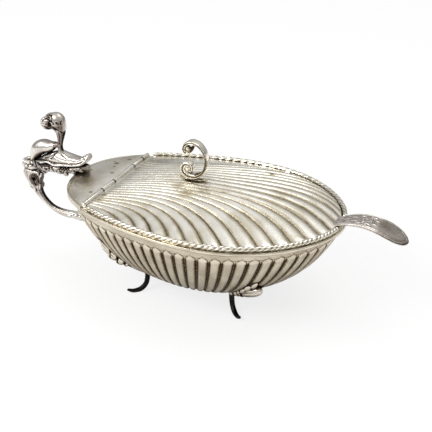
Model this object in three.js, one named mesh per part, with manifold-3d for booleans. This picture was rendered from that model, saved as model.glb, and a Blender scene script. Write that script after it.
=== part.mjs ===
// A covered shell dish: a fluted bowl on four feet, a plain fixed cover at the handle end,
// a hinged lid with a rope border and a scroll finial, a figural handle and a serving spoon.
// Millimetres, +Z up, +X from the handle towards the spoon. Every piece is laid out around
// the middle of the rim, at the height of the rim, and the whole dish is then set on its feet.

import * as THREE from 'three';
import { mergeVertices } from 'three/addons/utils/BufferGeometryUtils.js';
import Module from 'manifold-3d';

const wasm = await Module();
wasm.setup();

// Where the dish stands in its own frame
const RIM_HEIGHT = 68.5;
const MIDDLE_X = -2.75;

// Clearances, and the reach of the blocks that trim pieces
const GAP = 0.3;
const PIN_CLEARANCE = 0.08;
const STUD_CLEARANCE = 0.2;
const TRIM_REACH = 120;
const TRIM_BOTTOM = -20;
const TRIM_TOP = 40;

// Rim outline, seen from above
const HALF_LENGTH = 101.5;
const BEAM = 68.3;
const SWELL_TWICE = 0.019;
const SWELL_THRICE = -0.049;
const RIM_SEGMENTS = 64;

// Bowl and the strip round its rim
const BOWL_INSET = 1.5;
const BOWL_WALL = 1.6;
const BOWL_DEPTH = 58;
const BOWL_CURVE_IN = 0.58;
const BOWL_CURVE_DOWN = 1.66;
const BOWL_SHIFT = -6;
const BOWL_ROWS = 9;
const BOWL_LAST_ROW = 0.97;

// Lobes pressed into the bowl: the points across one as shares of its pitch, the levels that
// the plain band and the grooves lie below its crest, and its arched top
const LOBES = 61;
const LOBE_POINTS = [-0.5, -0.27, 0.27];
const LOBE_HALF_WIDTH = 0.39;
const LOBE_SQUARENESS = 2.6;
const LOBE_FULL_PITCH = 8;
const BAND_LEVEL = 0.8;
const GROOVE_LEVEL = 1.5;
const ARCH_TOP_AT_TIP = -7.2;
const ARCH_TOP_AT_HANDLE = -10.6;
const BAND_ROWS = [0, -3, -3.4];
const ARCH_ROWS = [0.4, -0.9, -3];
const LOBE_ROWS = [-22, -34, -45, -52.5, -56.4, -57.8];
const INNER_ROWS = [0, -12, -30, -45, -54, -57.8];

const STRIP_TOP = -0.6;
const STRIP_HEIGHT = 2.2;
const STRIP_CHAMFER = 0.3;

// Lid and rear cover
const SHEET = 1.4;
const LID_CROWN = 10.5;
const LID_FLAT_BY_HINGE = 70;
const LID_RISE_POWER = 2.5;

// Guides of the lid's creases, one row each: its number, its place along the hinge line, the two
// handles of its curve in plan, and where it meets the rim, in degrees round the outline. The
// flutes are the strips between them, and the far strip is plain.
const CREASE_GUIDES = [
  [-13, -45.4, -65, -45.7, -64.6, -46, -131.6], [-12, -43, -52, -44.5, -39, -51, -110],
  [-9, -33.6, -32, -35.5, -10, -41.6, -87], [-6, -24.2, -8, -25.5, 12, -29.7, -65],
  [-3, -13.2, 14, -19.4, 34, -9.5, -43.5], [0, -4.4, 28, -8.6, 54, 12, -19.5],
  [3, 9.2, 34, -0.8, 58, 50, 7], [5, 18.6, 18, 1, 47, 67, 25],
  [7, 29.7, -6, 6.4, 24, 61, 52], [8, 34.4, -12, 18.6, 0, 47, 66],
];
const FAR_EDGE_END = 64;
const FLUTE_POINTS = [0, 0.25, 0.75];
const FLUTE_ROWS = [0, 0.05, 0.15, 0.27, 0.4, 0.52, 0.63, 0.73, 0.82, 0.9, 0.96, 1];
const FLUTE_DEPTH = 0.24;
const FLUTE_DEEPEST = 1.9;
const FLUTE_ROUNDNESS = 0.62;
const FLUTE_CREST = 0.8;
const FLUTE_END = 3.4;
const FLUTE_SEAT = [9, 14];
const PLATE_ROWS = 8;
const REAR_CROWN = 2.2;
const REAR_LENGTH = 32;
const FLANGE_DEPTH = 2.6;
const FLANGE_THICKNESS = 1.1;
const FLANGE_FROM_X = -60;
const FLANGE_STEPS = 30;

// Notch that lets the spoon handle out, as [x, y] down one side, and its cutter's span in height
const NOTCH_OUTLINE = [[90, 0], [92.2, 4.4], [94, 6.4], [96.5, 7.6], [107, 9.4]];
const NOTCH_BOTTOM = -10;
const NOTCH_HEIGHT = 30;

// Rope border
const ROPE_RADIUS = 1.9;
const ROPE_SIDES = 8;
const ROPE_STEPS = 44;
const ROPE_HALF_OPENING = 9.2;

// Hinge: its line, and where one knuckle ends and the next begins
const HINGE_X = -68;
const HINGE_Z = 2;
const KNUCKLE_RADIUS = 1.7;
const PIN_RADIUS = 0.8;
const PIN_STANDS_OUT = 0.3;
const KNUCKLE_ENDS = [-46.4, -22, -6, 23, 37, 46.4];
const KNUCKLE_SPACING = 0.4;

// Finial and its fastening. Every list of stations here and below runs along an upright plane:
// distance out, height, half width across the plane, half thickness in it.
const FINIAL_X = -7;
const SCROLL = [
  [-10.2, 33.5, 1.9, 1.3], [-12.6, 31.9, 2.2, 1.3], [-14.6, 34.5, 2.5, 1.2], [-12.8, 38.9, 2.7, 1.1],
  [-8, 41.7, 2.8, 1.1], [-2, 40.1, 2.8, 1.1], [2.2, 34.3, 2.8, 1.1], [3.2, 27.3, 2.8, 1.1],
  [0.8, 19.9, 2.8, 1.1], [-4.6, 15.8, 2.8, 1.2], [-11, 15.5, 2.7, 1.2], [-15.4, 18.7, 2.5, 1.2],
  [-14.8, 23.3, 2.3, 1.2], [-10.8, 24.5, 2.1, 1.2], [-8.6, 21.5, 1.9, 1.3], [-10.2, 19.5, 1.7, 1.3],
];
const SCROLL_SEAT = 14.6;
const LEAF_PAD = [
  [-21.5, 12, 0.6, 0.5], [-17, 12.9, 3.6, 0.9], [-10, 13.3, 4.6, 1], [-3, 13.4, 4.4, 1],
  [4.5, 12.9, 1, 0.6],
];
const STUD_RADIUS = 1.25;
const STUD_LENGTH = 6;
const STUD_MIDDLE = 10.6;
const NUT_RADIUS = 3.2;
const NUT_HEIGHT = 2.2;
const NUT_BELOW_LID = 0.9;

// Handle, in the upright plane through the dish's long axis
const LOOP = [
  [-139.3, -14.7, 3.6, 3.2], [-136.2, -20.9, 4, 2.7], [-130.2, -27.7, 4, 2.5], [-121.8, -32.7, 4, 2.5],
  [-111, -35.3, 4, 2.5], [-98, -36, 4, 2.5], [-84, -36, 4, 2.5], [-68, -36, 4, 2.5],
];
const CUP = [
  [-143.4, 3, 4.6, 4.2], [-142.6, -1.7, 6, 5.8], [-141, -7.1, 6.4, 6.2], [-139.6, -12.3, 5.2, 4.8],
  [-137.8, -17.1, 4.2, 3.4],
];
const FIGURE_BODY = [
  [-143.4, 3.4, 3.4, 3.4], [-140, 8, 4.4, 4.4], [-135.2, 13.6, 6, 6.2], [-128.6, 15.1, 5.4, 5.6],
  [-121.6, 16.6, 4.4, 3.8], [-115.4, 16.8, 4, 3.8], [-109.6, 14.8, 3.6, 3], [-104.4, 12.4, 2.6, 1.8],
];
const FIGURE_HEAD = [
  [-115.2, 17.3, 3.4, 3.8], [-114.6, 23.3, 2.8, 3.1], [-113.6, 29, 3.4, 3.6],
  [-114.8, 34.9, 4.8, 5.2], [-119.4, 38.4, 5.2, 5.2], [-124.4, 37, 4.4, 4.6], [-128.4, 33.9, 2.8, 2.6],
];
const WING = [
  [-137.6, 3.9, 3, 1.6], [-130, 6.1, 6.4, 2.8], [-120, 8.5, 8.8, 4], [-109, 9.3, 9, 4.2],
  [-99.4, 9.9, 7.4, 3.4], [-93.8, 12.2, 5, 2.8], [-90, 16, 2.2, 1.5],
];
const BRACKET = [
  [-136, -1.6, 3.6, 3.8], [-127, -0.4, 5.6, 5.2], [-118, 0.8, 6.4, 4.4], [-108, 2.4, 6.4, 4.4],
  [-98, 4.2, 5.4, 3.8], [-91, 6.2, 2.6, 2.2],
];

// Ring of beads between the handle's figure and its leaf cup
const BEAD_COUNT = 10;
const BEAD_RADIUS = 1.9;
const BEAD_RING = 4.6;
const BEAD_CORE_RING = 3.6;
const BEAD_CORE_RADIUS = 1.3;
const COLLAR_PLACE = [-142.8, 0, 3.2];
const COLLAR_SPACE_RADIUS = 9;

// Spoon: its handle, then half length, half width, depth and sheet of its scoop, and the tilt
// and middle of the scoop's rim
const SPOON_HANDLE = [
  [37, -40.6, 5.6, 0.8], [43, -37.2, 4.2, 1.1], [50, -31.8, 3, 1.4], [60, -23.8, 2.6, 1.5],
  [73, -14, 2.8, 1.4], [84, -6, 3.2, 1.2], [90, -2.2, 4.2, 1.1], [96, 1.6, 6, 1.1],
  [101, 3.8, 7.3, 1.1], [108, 5.7, 8.6, 1.1], [116, 6.2, 9.6, 1.1], [124.6, 4.5, 10.3, 1.1],
  [133, 0.8, 10.1, 1.1], [139.8, -3.6, 7.6, 1], [143.2, -6.6, 3, 0.9],
];
const SCOOP_LENGTH = 23;
const SCOOP_WIDTH = 14.5;
const SCOOP_DEPTH = 6.5;
const SCOOP_SHEET = 1.2;
const SCOOP_TILT = 0.36;
const SCOOP_PLACE = [21, 0, -46.2];
const SCOOP_ROWS = 6;
const SCOOP_SEGMENTS = 24;

// Feet, as the one at +X and +Y; the others are its mirror images
const FOOT_X = 32.6;
const FOOT_Y = 25;
const BUD_HEADING = Math.atan2(12, 28);
const BUD = [
  [-2.4, -53.6, 2, 1.6], [0, -53.3, 3, 2.6], [3, -52.1, 2.4, 2], [5, -51.1, 3, 2.6],
  [7, -50, 2.4, 2], [11, -47.6, 3.8, 3.6], [17, -43.4, 4, 3.8], [23, -38, 2.8, 2.6],
  [28, -32.6, 2.4, 2], [32, -27, 0.8, 0.8],
];
const LEG_HEADING = Math.PI / 4;
const LEG = [
  [-0.6, -47.7, 2, 1.8], [0, -53.7, 2, 1.8], [0.2, -58.5, 1.9, 1.8], [1.6, -63.4, 1.8, 1.8],
  [5.4, -66.8, 1.8, 1.8], [10.4, -67.4, 1.6, 1.6], [15, -65.8, 0.9, 0.9],
];

// Finishes of the metal
const SILVER = { color: 0xcfc6b4, roughness: 0.3, metalness: 1 };
const DARK_SILVER = { color: 0xb9ad97, roughness: 0.35, metalness: 1 };
const BRIGHT_SILVER = { color: 0xd6d1c8, roughness: 0.22, metalness: 1 };
const SPOON_SILVER = { color: 0xb5aaa2, roughness: 0.32, metalness: 1 };
const BLACKENED = { color: 0x1b1a19, roughness: 0.5, metalness: 0.7 };

const dish = new THREE.Group();
dish.position.set(-MIDDLE_X, 0, RIM_HEIGHT);

function addPiece(name, geometry, finish) {
  const mesh = new THREE.Mesh(geometry, new THREE.MeshStandardMaterial(finish));
  mesh.name = name;
  dish.add(mesh);
}

// Solids and their cuts

function solidOf(geometry) {
  const bare = geometry.clone();
  bare.deleteAttribute('normal');
  bare.deleteAttribute('uv');
  const welded = mergeVertices(bare, 1e-4);
  return new wasm.Manifold(new wasm.Mesh({
    numProp: 3,
    vertProperties: new Float32Array(welded.attributes.position.array),
    triVerts: new Uint32Array(welded.index.array),
  }));
}

function geometryOf(solid) {
  const mesh = solid.getMesh();
  const geometry = new THREE.BufferGeometry();
  geometry.setAttribute('position', new THREE.BufferAttribute(mesh.vertProperties, 3));
  geometry.setIndex(new THREE.BufferAttribute(mesh.triVerts, 1));
  geometry.computeVertexNormals();
  return geometry;
}

function cut(geometry, ...tools) {
  return geometryOf(tools.reduce((left, tool) => left.subtract(solidOf(tool)), solidOf(geometry)));
}

function join(...geometries) {
  const [first, ...others] = geometries.map(solidOf);
  return geometryOf(others.reduce((whole, other) => whole.add(other), first));
}

function signedVolume(positions, faces) {
  const corner = (index) => new THREE.Vector3().fromArray(positions, index * 3);
  let volume = 0;
  for (let face = 0; face < faces.length; face += 3) {
    const [a, b, c] = [faces[face], faces[face + 1], faces[face + 2]].map(corner);
    volume += a.dot(b.cross(c)) / 6;
  }
  return volume;
}

function closedGeometry(positions, faces) {
  if (signedVolume(positions, faces) < 0) faces.reverse();
  const geometry = new THREE.BufferGeometry();
  geometry.setAttribute('position', new THREE.Float32BufferAttribute(positions, 3));
  geometry.setIndex(faces);
  geometry.computeVertexNormals();
  return geometry;
}

// A closed solid from a stack of rings with the same number of points; each end closes on the
// middle of its ring.
function loft(rings) {
  const sides = rings[0].length;
  const positions = rings.flat().flatMap((point) => point.toArray());
  const faces = [];
  for (let row = 0; row < rings.length - 1; row++) {
    for (let side = 0; side < sides; side++) {
      const next = (side + 1) % sides;
      const here = row * sides;
      const there = here + sides;
      faces.push(here + side, here + next, there + next);
      faces.push(here + side, there + next, there + side);
    }
  }
  const closeEnd = (row, turn) => {
    const middle = rings[row].reduce((sum, point) => sum.add(point), new THREE.Vector3());
    positions.push(...middle.divideScalar(sides).toArray());
    const hub = positions.length / 3 - 1;
    for (let side = 0; side < sides; side++) {
      const edge = [row * sides + side, row * sides + (side + 1) % sides];
      faces.push(hub, edge[turn], edge[1 - turn]);
    }
  };
  closeEnd(0, 1);
  closeEnd(rings.length - 1, 0);
  return closedGeometry(positions, faces);
}

// A solid that follows the stations of a curve in an upright plane. A corner value below one
// squares its section, and grow makes it stouter all round.
function sweep(stations, options) {
  const { x = 0, y = 0, heading = 0, steps, sides, corner = 1, grow = 0 } = options;
  const curve = (points) => new THREE.CatmullRomCurve3(points, false, 'catmullrom');
  const path = curve(stations.map(([out, height]) => new THREE.Vector3(out, height, 0)));
  const size = curve(stations.map(([, , across, thick]) => new THREE.Vector3(across, thick, 0)));
  const ahead = new THREE.Vector3(Math.cos(heading), Math.sin(heading), 0);
  const sideways = new THREE.Vector3(-Math.sin(heading), Math.cos(heading), 0);
  const soften = (value) => Math.sign(value) * Math.abs(value) ** corner;
  const rings = [];
  for (let step = 0; step <= steps; step++) {
    const at = path.getPoint(step / steps);
    const along = path.getTangent(step / steps);
    const half = size.getPoint(step / steps);
    const ring = [];
    for (let side = 0; side < sides; side++) {
      const angle = ((side + 0.5) / sides) * 2 * Math.PI;
      const across = soften(Math.cos(angle)) * (half.x + grow);
      const thick = soften(Math.sin(angle)) * (half.y + grow);
      const point = new THREE.Vector3(x, y, at.y + along.x * thick);
      point.addScaledVector(ahead, at.x - along.y * thick);
      point.addScaledVector(sideways, across);
      ring.push(point);
    }
    rings.push(ring);
  }
  return loft(rings);
}

function uprightCylinder(radius, height, segments, [x, y, z]) {
  return new THREE.CylinderGeometry(radius, radius, height, segments)
    .rotateX(Math.PI / 2).translate(x, y, z);
}

function block(low, high) {
  const size = new THREE.Vector3().subVectors(high, low);
  const middle = low.clone().addScaledVector(size, 0.5);
  return new THREE.BoxGeometry(...size.toArray()).translate(...middle.toArray());
}

// Everything between two values of x, or below a height
function between(x0, x1) {
  return block(new THREE.Vector3(x0, -TRIM_REACH, TRIM_BOTTOM), new THREE.Vector3(x1, TRIM_REACH, TRIM_TOP));
}

function below(height) {
  return block(
    new THREE.Vector3(-TRIM_REACH, -TRIM_REACH, height - TRIM_TOP),
    new THREE.Vector3(TRIM_REACH, TRIM_REACH, height),
  );
}

// The rim outline and the surfaces that follow it

function outlineX(angle, inset) {
  return (HALF_LENGTH - inset) * Math.cos(angle);
}

function outlineY(angle, inset) {
  const swell = 1 + SWELL_TWICE * Math.cos(2 * angle) + SWELL_THRICE * Math.cos(3 * angle);
  return (BEAM - inset) * swell * Math.sin(angle);
}

function outlineRing(inset, height, scale = 1, shift = 0) {
  return Array.from({ length: RIM_SEGMENTS }, (_, index) => {
    const angle = (index / RIM_SEGMENTS) * 2 * Math.PI;
    const x = outlineX(angle, inset) * scale + shift;
    const y = outlineY(angle, inset) * scale;
    return new THREE.Vector3(x, y, height(x, scale));
  });
}

function outlineAngleAt(x, inset) {
  return Math.acos(x / (HALF_LENGTH - inset));
}

// How far out a point is, from 0 in the middle to 1 on the outline
function radialOf(x, y, inset) {
  let angle = Math.atan2(y, x);
  for (let pass = 0; pass < 5; pass++) {
    const wide = outlineY(angle, inset) / Math.sin(angle || 1e-6);
    angle = Math.atan2(y / wide, x / (HALF_LENGTH - inset));
  }
  return Math.hypot(x, y) / Math.hypot(outlineX(angle, inset), outlineY(angle, inset));
}

// Rings of a bowl surface, from its rim down to the small flat under its middle
function bowlRings(inset, depth) {
  return Array.from({ length: BOWL_ROWS + 1 }, (_, row) => {
    const turn = (row / BOWL_ROWS) * BOWL_LAST_ROW * (Math.PI / 2);
    const scale = Math.cos(turn) ** BOWL_CURVE_IN;
    const drop = -depth * Math.sin(turn) ** BOWL_CURVE_DOWN;
    return outlineRing(inset, () => drop, scale, BOWL_SHIFT * (1 - scale));
  });
}

function lidRise(x, radial) {
  const away = THREE.MathUtils.clamp((x - HINGE_X) / LID_FLAT_BY_HINGE, 0, 1);
  return LID_CROWN * (1 - radial ** 2) * (1 - (1 - away) ** LID_RISE_POWER);
}

function rearRise(x, radial) {
  const away = THREE.MathUtils.clamp((HINGE_X - x) / REAR_LENGTH, 0, 1);
  return REAR_CROWN * (1 - radial ** 4) * Math.sin(Math.PI * away ** 0.7);
}

// A plate over the whole outline, with its two faces at heights above a rising surface
function plateOverOutline(inset, rise, bottom, top) {
  const radials = Array.from({ length: PLATE_ROWS }, (_, row) => (row + 1) / PLATE_ROWS);
  const face = (offset) => radials.map((radial) => (
    outlineRing(inset, (x, scale) => offset + rise(x, scale), radial)));
  return loft([...face(bottom), ...face(top).reverse()]);
}

// A solid that follows the rim between two angles, with a section of corners [inset, height]
function alongRim(start, end, steps, section) {
  const rings = Array.from({ length: steps + 1 }, (_, step) => {
    const angle = THREE.MathUtils.lerp(start, end, step / steps);
    return section.map(([inset, height]) => (
      new THREE.Vector3(outlineX(angle, inset), outlineY(angle, inset), height)));
  });
  return loft(rings);
}

// Bowl, the strip round its rim, and the space that fittings outside the bowl keep clear of

class BowlRim extends THREE.Curve {
  getPoint(part, target = new THREE.Vector3()) {
    const angle = part * 2 * Math.PI;
    return target.set(outlineX(angle, BOWL_INSET), outlineY(angle, BOWL_INSET), 0);
  }
}
const bowlRim = new BowlRim();
bowlRim.arcLengthDivisions = 720;

// How far the pressed surface lies inside the plain one, across a lobe and down it
function pressedIn(phase, height, archTop, scale) {
  const pitch = (bowlRim.getLength() / LOBES) * scale;
  const halfWidth = LOBE_HALF_WIDTH * pitch;
  const above = Math.max(height - archTop + halfWidth, 0);
  const away = Math.hypot(phase * pitch, above) / halfWidth;
  const lobe = Math.sqrt(Math.max(0, 1 - away ** LOBE_SQUARENESS));
  const inGroove = THREE.MathUtils.smoothstep(archTop - height, -0.3, 2);
  const belowStrip = THREE.MathUtils.smoothstep(-height, 3, 3.4);
  const level = THREE.MathUtils.lerp(BAND_LEVEL, GROOVE_LEVEL, inGroove) * belowStrip;
  const size = THREE.MathUtils.clamp(pitch / LOBE_FULL_PITCH, 0.35, 1);
  return level * (1 - lobe) * size * THREE.MathUtils.smoothstep(scale, 0.1, 0.26);
}

// A ring of the pressed bowl, at a height for each place round the rim
function pressedRing(inset, depth, heightAt) {
  const shares = Array.from({ length: LOBES }, (_, lobe) => LOBE_POINTS.map((phase) => [lobe, phase]));
  return shares.flat().map(([lobe, phase]) => {
    const angle = bowlRim.getUtoTmapping((lobe + phase - LOBE_POINTS[0]) / LOBES) * 2 * Math.PI;
    const toHandle = (1 - Math.cos(angle)) / 2;
    const archTop = THREE.MathUtils.lerp(ARCH_TOP_AT_TIP, ARCH_TOP_AT_HANDLE, toHandle);
    const height = heightAt(archTop);
    const turn = Math.asin((-height / depth) ** (1 / BOWL_CURVE_DOWN));
    const scale = Math.cos(turn) ** BOWL_CURVE_IN;
    const [rimX, rimY] = [outlineX(angle, inset), outlineY(angle, inset)];
    const down = Math.sin(turn) ** 2;
    const outward = new THREE.Vector3(rimX / HALF_LENGTH ** 2, rimY / BEAM ** 2, 0)
      .setLength(Math.sqrt(1 - down ** 2)).setZ(-down);
    return new THREE.Vector3(rimX * scale + BOWL_SHIFT * (1 - scale), rimY * scale, height)
      .addScaledVector(outward, -pressedIn(phase, height, archTop, scale));
  });
}

const outerRows = [
  ...BAND_ROWS.map((height) => () => height),
  ...ARCH_ROWS.map((offset) => (archTop) => archTop + offset),
  ...LOBE_ROWS.map((height) => () => height),
];
const innerShare = 1 - BOWL_WALL / BOWL_DEPTH;
addPiece('shell_bowl', loft([
  ...outerRows.map((row) => pressedRing(BOWL_INSET, BOWL_DEPTH, row)).reverse(),
  ...INNER_ROWS.map((height) => (
    pressedRing(BOWL_INSET + BOWL_WALL, BOWL_DEPTH - BOWL_WALL, () => height * innerShare))),
]), DARK_SILVER);

const stripEnd = outlineAngleAt(HINGE_X + GAP, 0);
addPiece('bowl_rim_strip', alongRim(-stripEnd, stripEnd, RIM_SEGMENTS, [
  [BOWL_INSET - GAP, STRIP_TOP],
  [0, STRIP_TOP - STRIP_CHAMFER],
  [0, STRIP_TOP - STRIP_HEIGHT + STRIP_CHAMFER],
  [BOWL_INSET - GAP, STRIP_TOP - STRIP_HEIGHT],
]), DARK_SILVER);

const bowlSpace = loft(bowlRings(BOWL_INSET - GAP, BOWL_DEPTH + GAP).reverse());

// Rear cover, with its turned-down edge

const coverTop = GAP + SHEET;
const coverPlate = plateOverOutline(0, rearRise, GAP, coverTop);
const flangeStart = outlineAngleAt(FLANGE_FROM_X, 0);
const flange = alongRim(flangeStart, 2 * Math.PI - flangeStart, FLANGE_STEPS, [
  [0, coverTop],
  [0, -FLANGE_DEPTH],
  [FLANGE_THICKNESS, -FLANGE_DEPTH],
  [FLANGE_THICKNESS, coverTop],
]);
const coverFront = HINGE_X - KNUCKLE_RADIUS - GAP;
addPiece('rear_cover', cut(join(coverPlate, flange), between(coverFront, TRIM_REACH)), SILVER);
const coverSpace = plateOverOutline(-GAP, rearRise, -FLANGE_DEPTH - GAP, coverTop + GAP);

// Lid, with its notch for the spoon and its hole for the finial

const notchShape = new THREE.Shape([
  ...NOTCH_OUTLINE.map(([x, y]) => new THREE.Vector2(x, y)),
  ...NOTCH_OUTLINE.slice(1).reverse().map(([x, y]) => new THREE.Vector2(x, -y)),
]);
const notch = new THREE.ExtrudeGeometry(notchShape, { depth: NOTCH_HEIGHT, bevelEnabled: false })
  .translate(0, 0, NOTCH_BOTTOM);
const studHole = uprightCylinder(STUD_RADIUS + STUD_CLEARANCE, TRIM_TOP, 16, [FINIAL_X, 0, 0]);
const lidInset = 2 * ROPE_RADIUS + GAP;
const lidTop = GAP + SHEET;
const lidBack = HINGE_X + KNUCKLE_RADIUS + GAP;
const lastCrease = CREASE_GUIDES.at(-1)[0];

// A point in plan on the line of a crease, or between two creases, from the hinge to the rim
function creasePoint(number, along) {
  const next = Math.max(1, CREASE_GUIDES.findIndex((guide) => guide[0] >= number));
  const [before, after] = [CREASE_GUIDES[next - 1], CREASE_GUIDES[next]];
  const part = (number - before[0]) / (after[0] - before[0]);
  const [, y0, x1, y1, x2, y2, end] = before.map((value, index) => (
    THREE.MathUtils.lerp(value, after[index], part)));
  const angle = THREE.MathUtils.degToRad(end);
  return new THREE.CubicBezierCurve(
    new THREE.Vector2(lidBack, y0), new THREE.Vector2(x1, y1), new THREE.Vector2(x2, y2),
    new THREE.Vector2(outlineX(angle, lidInset), outlineY(angle, lidInset)),
  ).getPoint(along);
}

// Past the last crease the lines ease over into the far edge of the lid
function lidPlan(number, along) {
  const share = Math.max(0, number - lastCrease);
  const onCrease = creasePoint(Math.min(number, lastCrease), along);
  const far = THREE.MathUtils.lerp(
    outlineAngleAt(lidBack, lidInset), THREE.MathUtils.degToRad(FAR_EDGE_END), along);
  return onCrease.lerp(new THREE.Vector2(outlineX(far, lidInset), outlineY(far, lidInset)), share);
}

function fluteWidth(number, along) {
  const middle = Math.min(Math.floor(number), lastCrease - 1);
  const across = creasePoint(middle + 1, along).sub(creasePoint(middle, along));
  const ahead = creasePoint(middle + 0.5, Math.min(along + 0.02, 1))
    .sub(creasePoint(middle + 0.5, Math.max(along - 0.02, 0))).normalize();
  return Math.abs(across.cross(ahead));
}

function fluteRise(number, along, x, y, radial) {
  if (number >= lastCrease) return 0;
  const rounded = Math.max(0, Math.sin(Math.PI * (number - Math.floor(number)))) ** FLUTE_ROUNDNESS;
  const depth = THREE.MathUtils.clamp(FLUTE_DEPTH * fluteWidth(number, along), 0.25, FLUTE_DEEPEST);
  const fromRim = THREE.MathUtils.clamp(((1 - radial) * BEAM) / FLUTE_END, 0, 1);
  const ends = Math.sqrt(1 - (1 - fromRim) ** 2) * THREE.MathUtils.smoothstep(along, 0, 0.05);
  const clear = THREE.MathUtils.smoothstep(Math.hypot(x - FINIAL_X, y), ...FLUTE_SEAT);
  return depth * (rounded - FLUTE_CREST) * ends * clear;
}

// A pressed sheet: a grid of points, the same grid set lower, and walls round its edge
function pressedSheet(grid, thickness) {
  const [rows, columns] = [grid.length, grid[0].length];
  const top = grid.flat();
  const bottom = top.map((point) => point.clone().setZ(point.z - thickness));
  const at = (row, column) => row * columns + column;
  const faces = [];
  const addQuad = (a, b, c, d) => faces.push(a, b, c, a, c, d);
  for (let row = 0; row < rows - 1; row++) {
    for (let column = 0; column < columns - 1; column++) {
      const quad = [at(row, column), at(row, column + 1), at(row + 1, column + 1), at(row + 1, column)];
      addQuad(...quad);
      addQuad(...quad.map((corner) => corner + top.length).reverse());
    }
  }
  const edge = [];
  for (let column = 0; column < columns - 1; column++) edge.push(at(0, column));
  for (let row = 0; row < rows - 1; row++) edge.push(at(row, columns - 1));
  for (let column = columns - 1; column > 0; column--) edge.push(at(rows - 1, column));
  for (let row = rows - 1; row > 0; row--) edge.push(at(row, 0));
  edge.forEach((corner, index) => {
    const next = edge[(index + 1) % edge.length];
    addQuad(next, corner, corner + top.length, next + top.length);
  });
  return closedGeometry([...top, ...bottom].flatMap((point) => point.toArray()), faces);
}

const fluteLines = [];
for (let crease = CREASE_GUIDES[0][0]; crease < lastCrease; crease++) {
  fluteLines.push(...FLUTE_POINTS.map((part) => crease + part));
}
fluteLines.push(lastCrease, lastCrease + 0.5, lastCrease + 1);
const lidPlate = pressedSheet(fluteLines.map((number) => FLUTE_ROWS.map((along) => {
  const { x, y } = lidPlan(number, along);
  const radial = Math.min(1, radialOf(x, y, lidInset));
  const height = lidTop + lidRise(x, radial) + fluteRise(number, along, x, y, radial);
  return new THREE.Vector3(x, y, height);
})), SHEET);
addPiece('lid_shell', cut(lidPlate, notch, studHole), SILVER);

// Rope border of the lid, in two lengths from the hinge corners to the notch

const ropeSection = Array.from({ length: ROPE_SIDES }, (_, side) => {
  const turn = (side / ROPE_SIDES) * 2 * Math.PI;
  return [ROPE_RADIUS * (1 - Math.cos(turn)), GAP + ROPE_RADIUS * (1 + Math.sin(turn))];
});
const ropeStart = Math.asin(ROPE_HALF_OPENING / BEAM);
const ropeEnd = outlineAngleAt(lidBack, ROPE_RADIUS);
addPiece('lid_rope_far', alongRim(ropeStart, ropeEnd, ROPE_STEPS, ropeSection), SILVER);
addPiece('lid_rope_near', alongRim(-ropeStart, -ropeEnd, ROPE_STEPS, ropeSection), SILVER);

// Hinge

function knuckle(start, end) {
  const ring = new THREE.Shape().absarc(0, 0, KNUCKLE_RADIUS, 0, 2 * Math.PI);
  ring.holes.push(new THREE.Path().absarc(0, 0, PIN_RADIUS + PIN_CLEARANCE, 0, 2 * Math.PI, true));
  const depth = end - start - KNUCKLE_SPACING;
  return new THREE.ExtrudeGeometry(ring, { depth, bevelEnabled: false, curveSegments: 10 })
    .rotateX(-Math.PI / 2).translate(HINGE_X, start + KNUCKLE_SPACING / 2, HINGE_Z);
}

KNUCKLE_ENDS.slice(0, -1).forEach((start, index) => {
  const owner = index % 2 === 0 ? 'cover' : 'lid';
  addPiece(`hinge_knuckle_${index + 1}_${owner}`, knuckle(start, KNUCKLE_ENDS[index + 1]), SILVER);
});
const pinLength = KNUCKLE_ENDS.at(-1) - KNUCKLE_ENDS[0] + 2 * PIN_STANDS_OUT;
addPiece('hinge_pin', new THREE.CylinderGeometry(PIN_RADIUS, PIN_RADIUS, pinLength, 20)
  .translate(HINGE_X, 0, HINGE_Z), SILVER);

// Finial: an open scroll on a leaf pad, held by a stud and a nut under the lid

const lidSpace = plateOverOutline(lidInset, lidRise, TRIM_BOTTOM, lidTop + GAP);
const scroll = sweep(SCROLL, { steps: 48, sides: 8, corner: 0.8 });
addPiece('finial_scroll', cut(scroll, below(SCROLL_SEAT)), SILVER);
const padAboveLid = cut(sweep(LEAF_PAD, { steps: 14, sides: 10, corner: 0.9 }), lidSpace);
const stud = uprightCylinder(STUD_RADIUS, STUD_LENGTH, 16, [FINIAL_X, 0, STUD_MIDDLE]);
addPiece('finial_leaf_pad', join(padAboveLid, stud), SILVER);
const nutMiddle = GAP + lidRise(FINIAL_X, 0) - NUT_BELOW_LID - NUT_HEIGHT / 2;
const nut = uprightCylinder(NUT_RADIUS, NUT_HEIGHT, 6, [FINIAL_X, 0, nutMiddle]);
addPiece('finial_nut', cut(nut, studHole), SILVER);

// Handle

const loopOptions = { steps: 24, sides: 8, corner: 0.6 };
const cupOptions = { steps: 10, sides: 12 };
const wingOptions = { steps: 18, sides: 12 };
const figureOptions = { steps: 20, sides: 12 };
const beads = Array.from({ length: BEAD_COUNT }, (_, index) => {
  const turn = (index / BEAD_COUNT) * 2 * Math.PI;
  return new THREE.SphereGeometry(BEAD_RADIUS, 8, 6).translate(
    BEAD_RING * Math.cos(turn), BEAD_RING * Math.sin(turn), 0);
});
const beadCore = new THREE.TorusGeometry(BEAD_CORE_RING, BEAD_CORE_RADIUS, 6, 20);
const collarHeight = 2 * (BEAD_RADIUS + GAP);
const collarSpace = uprightCylinder(COLLAR_SPACE_RADIUS, collarHeight, 24, COLLAR_PLACE);
const cupSpace = sweep(CUP, { ...cupOptions, grow: GAP });
const wingSpace = sweep(WING, { ...wingOptions, grow: GAP });
const figure = join(sweep(FIGURE_BODY, figureOptions), sweep(FIGURE_HEAD, figureOptions));
const bracket = sweep(BRACKET, { steps: 18, sides: 10 });

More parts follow.
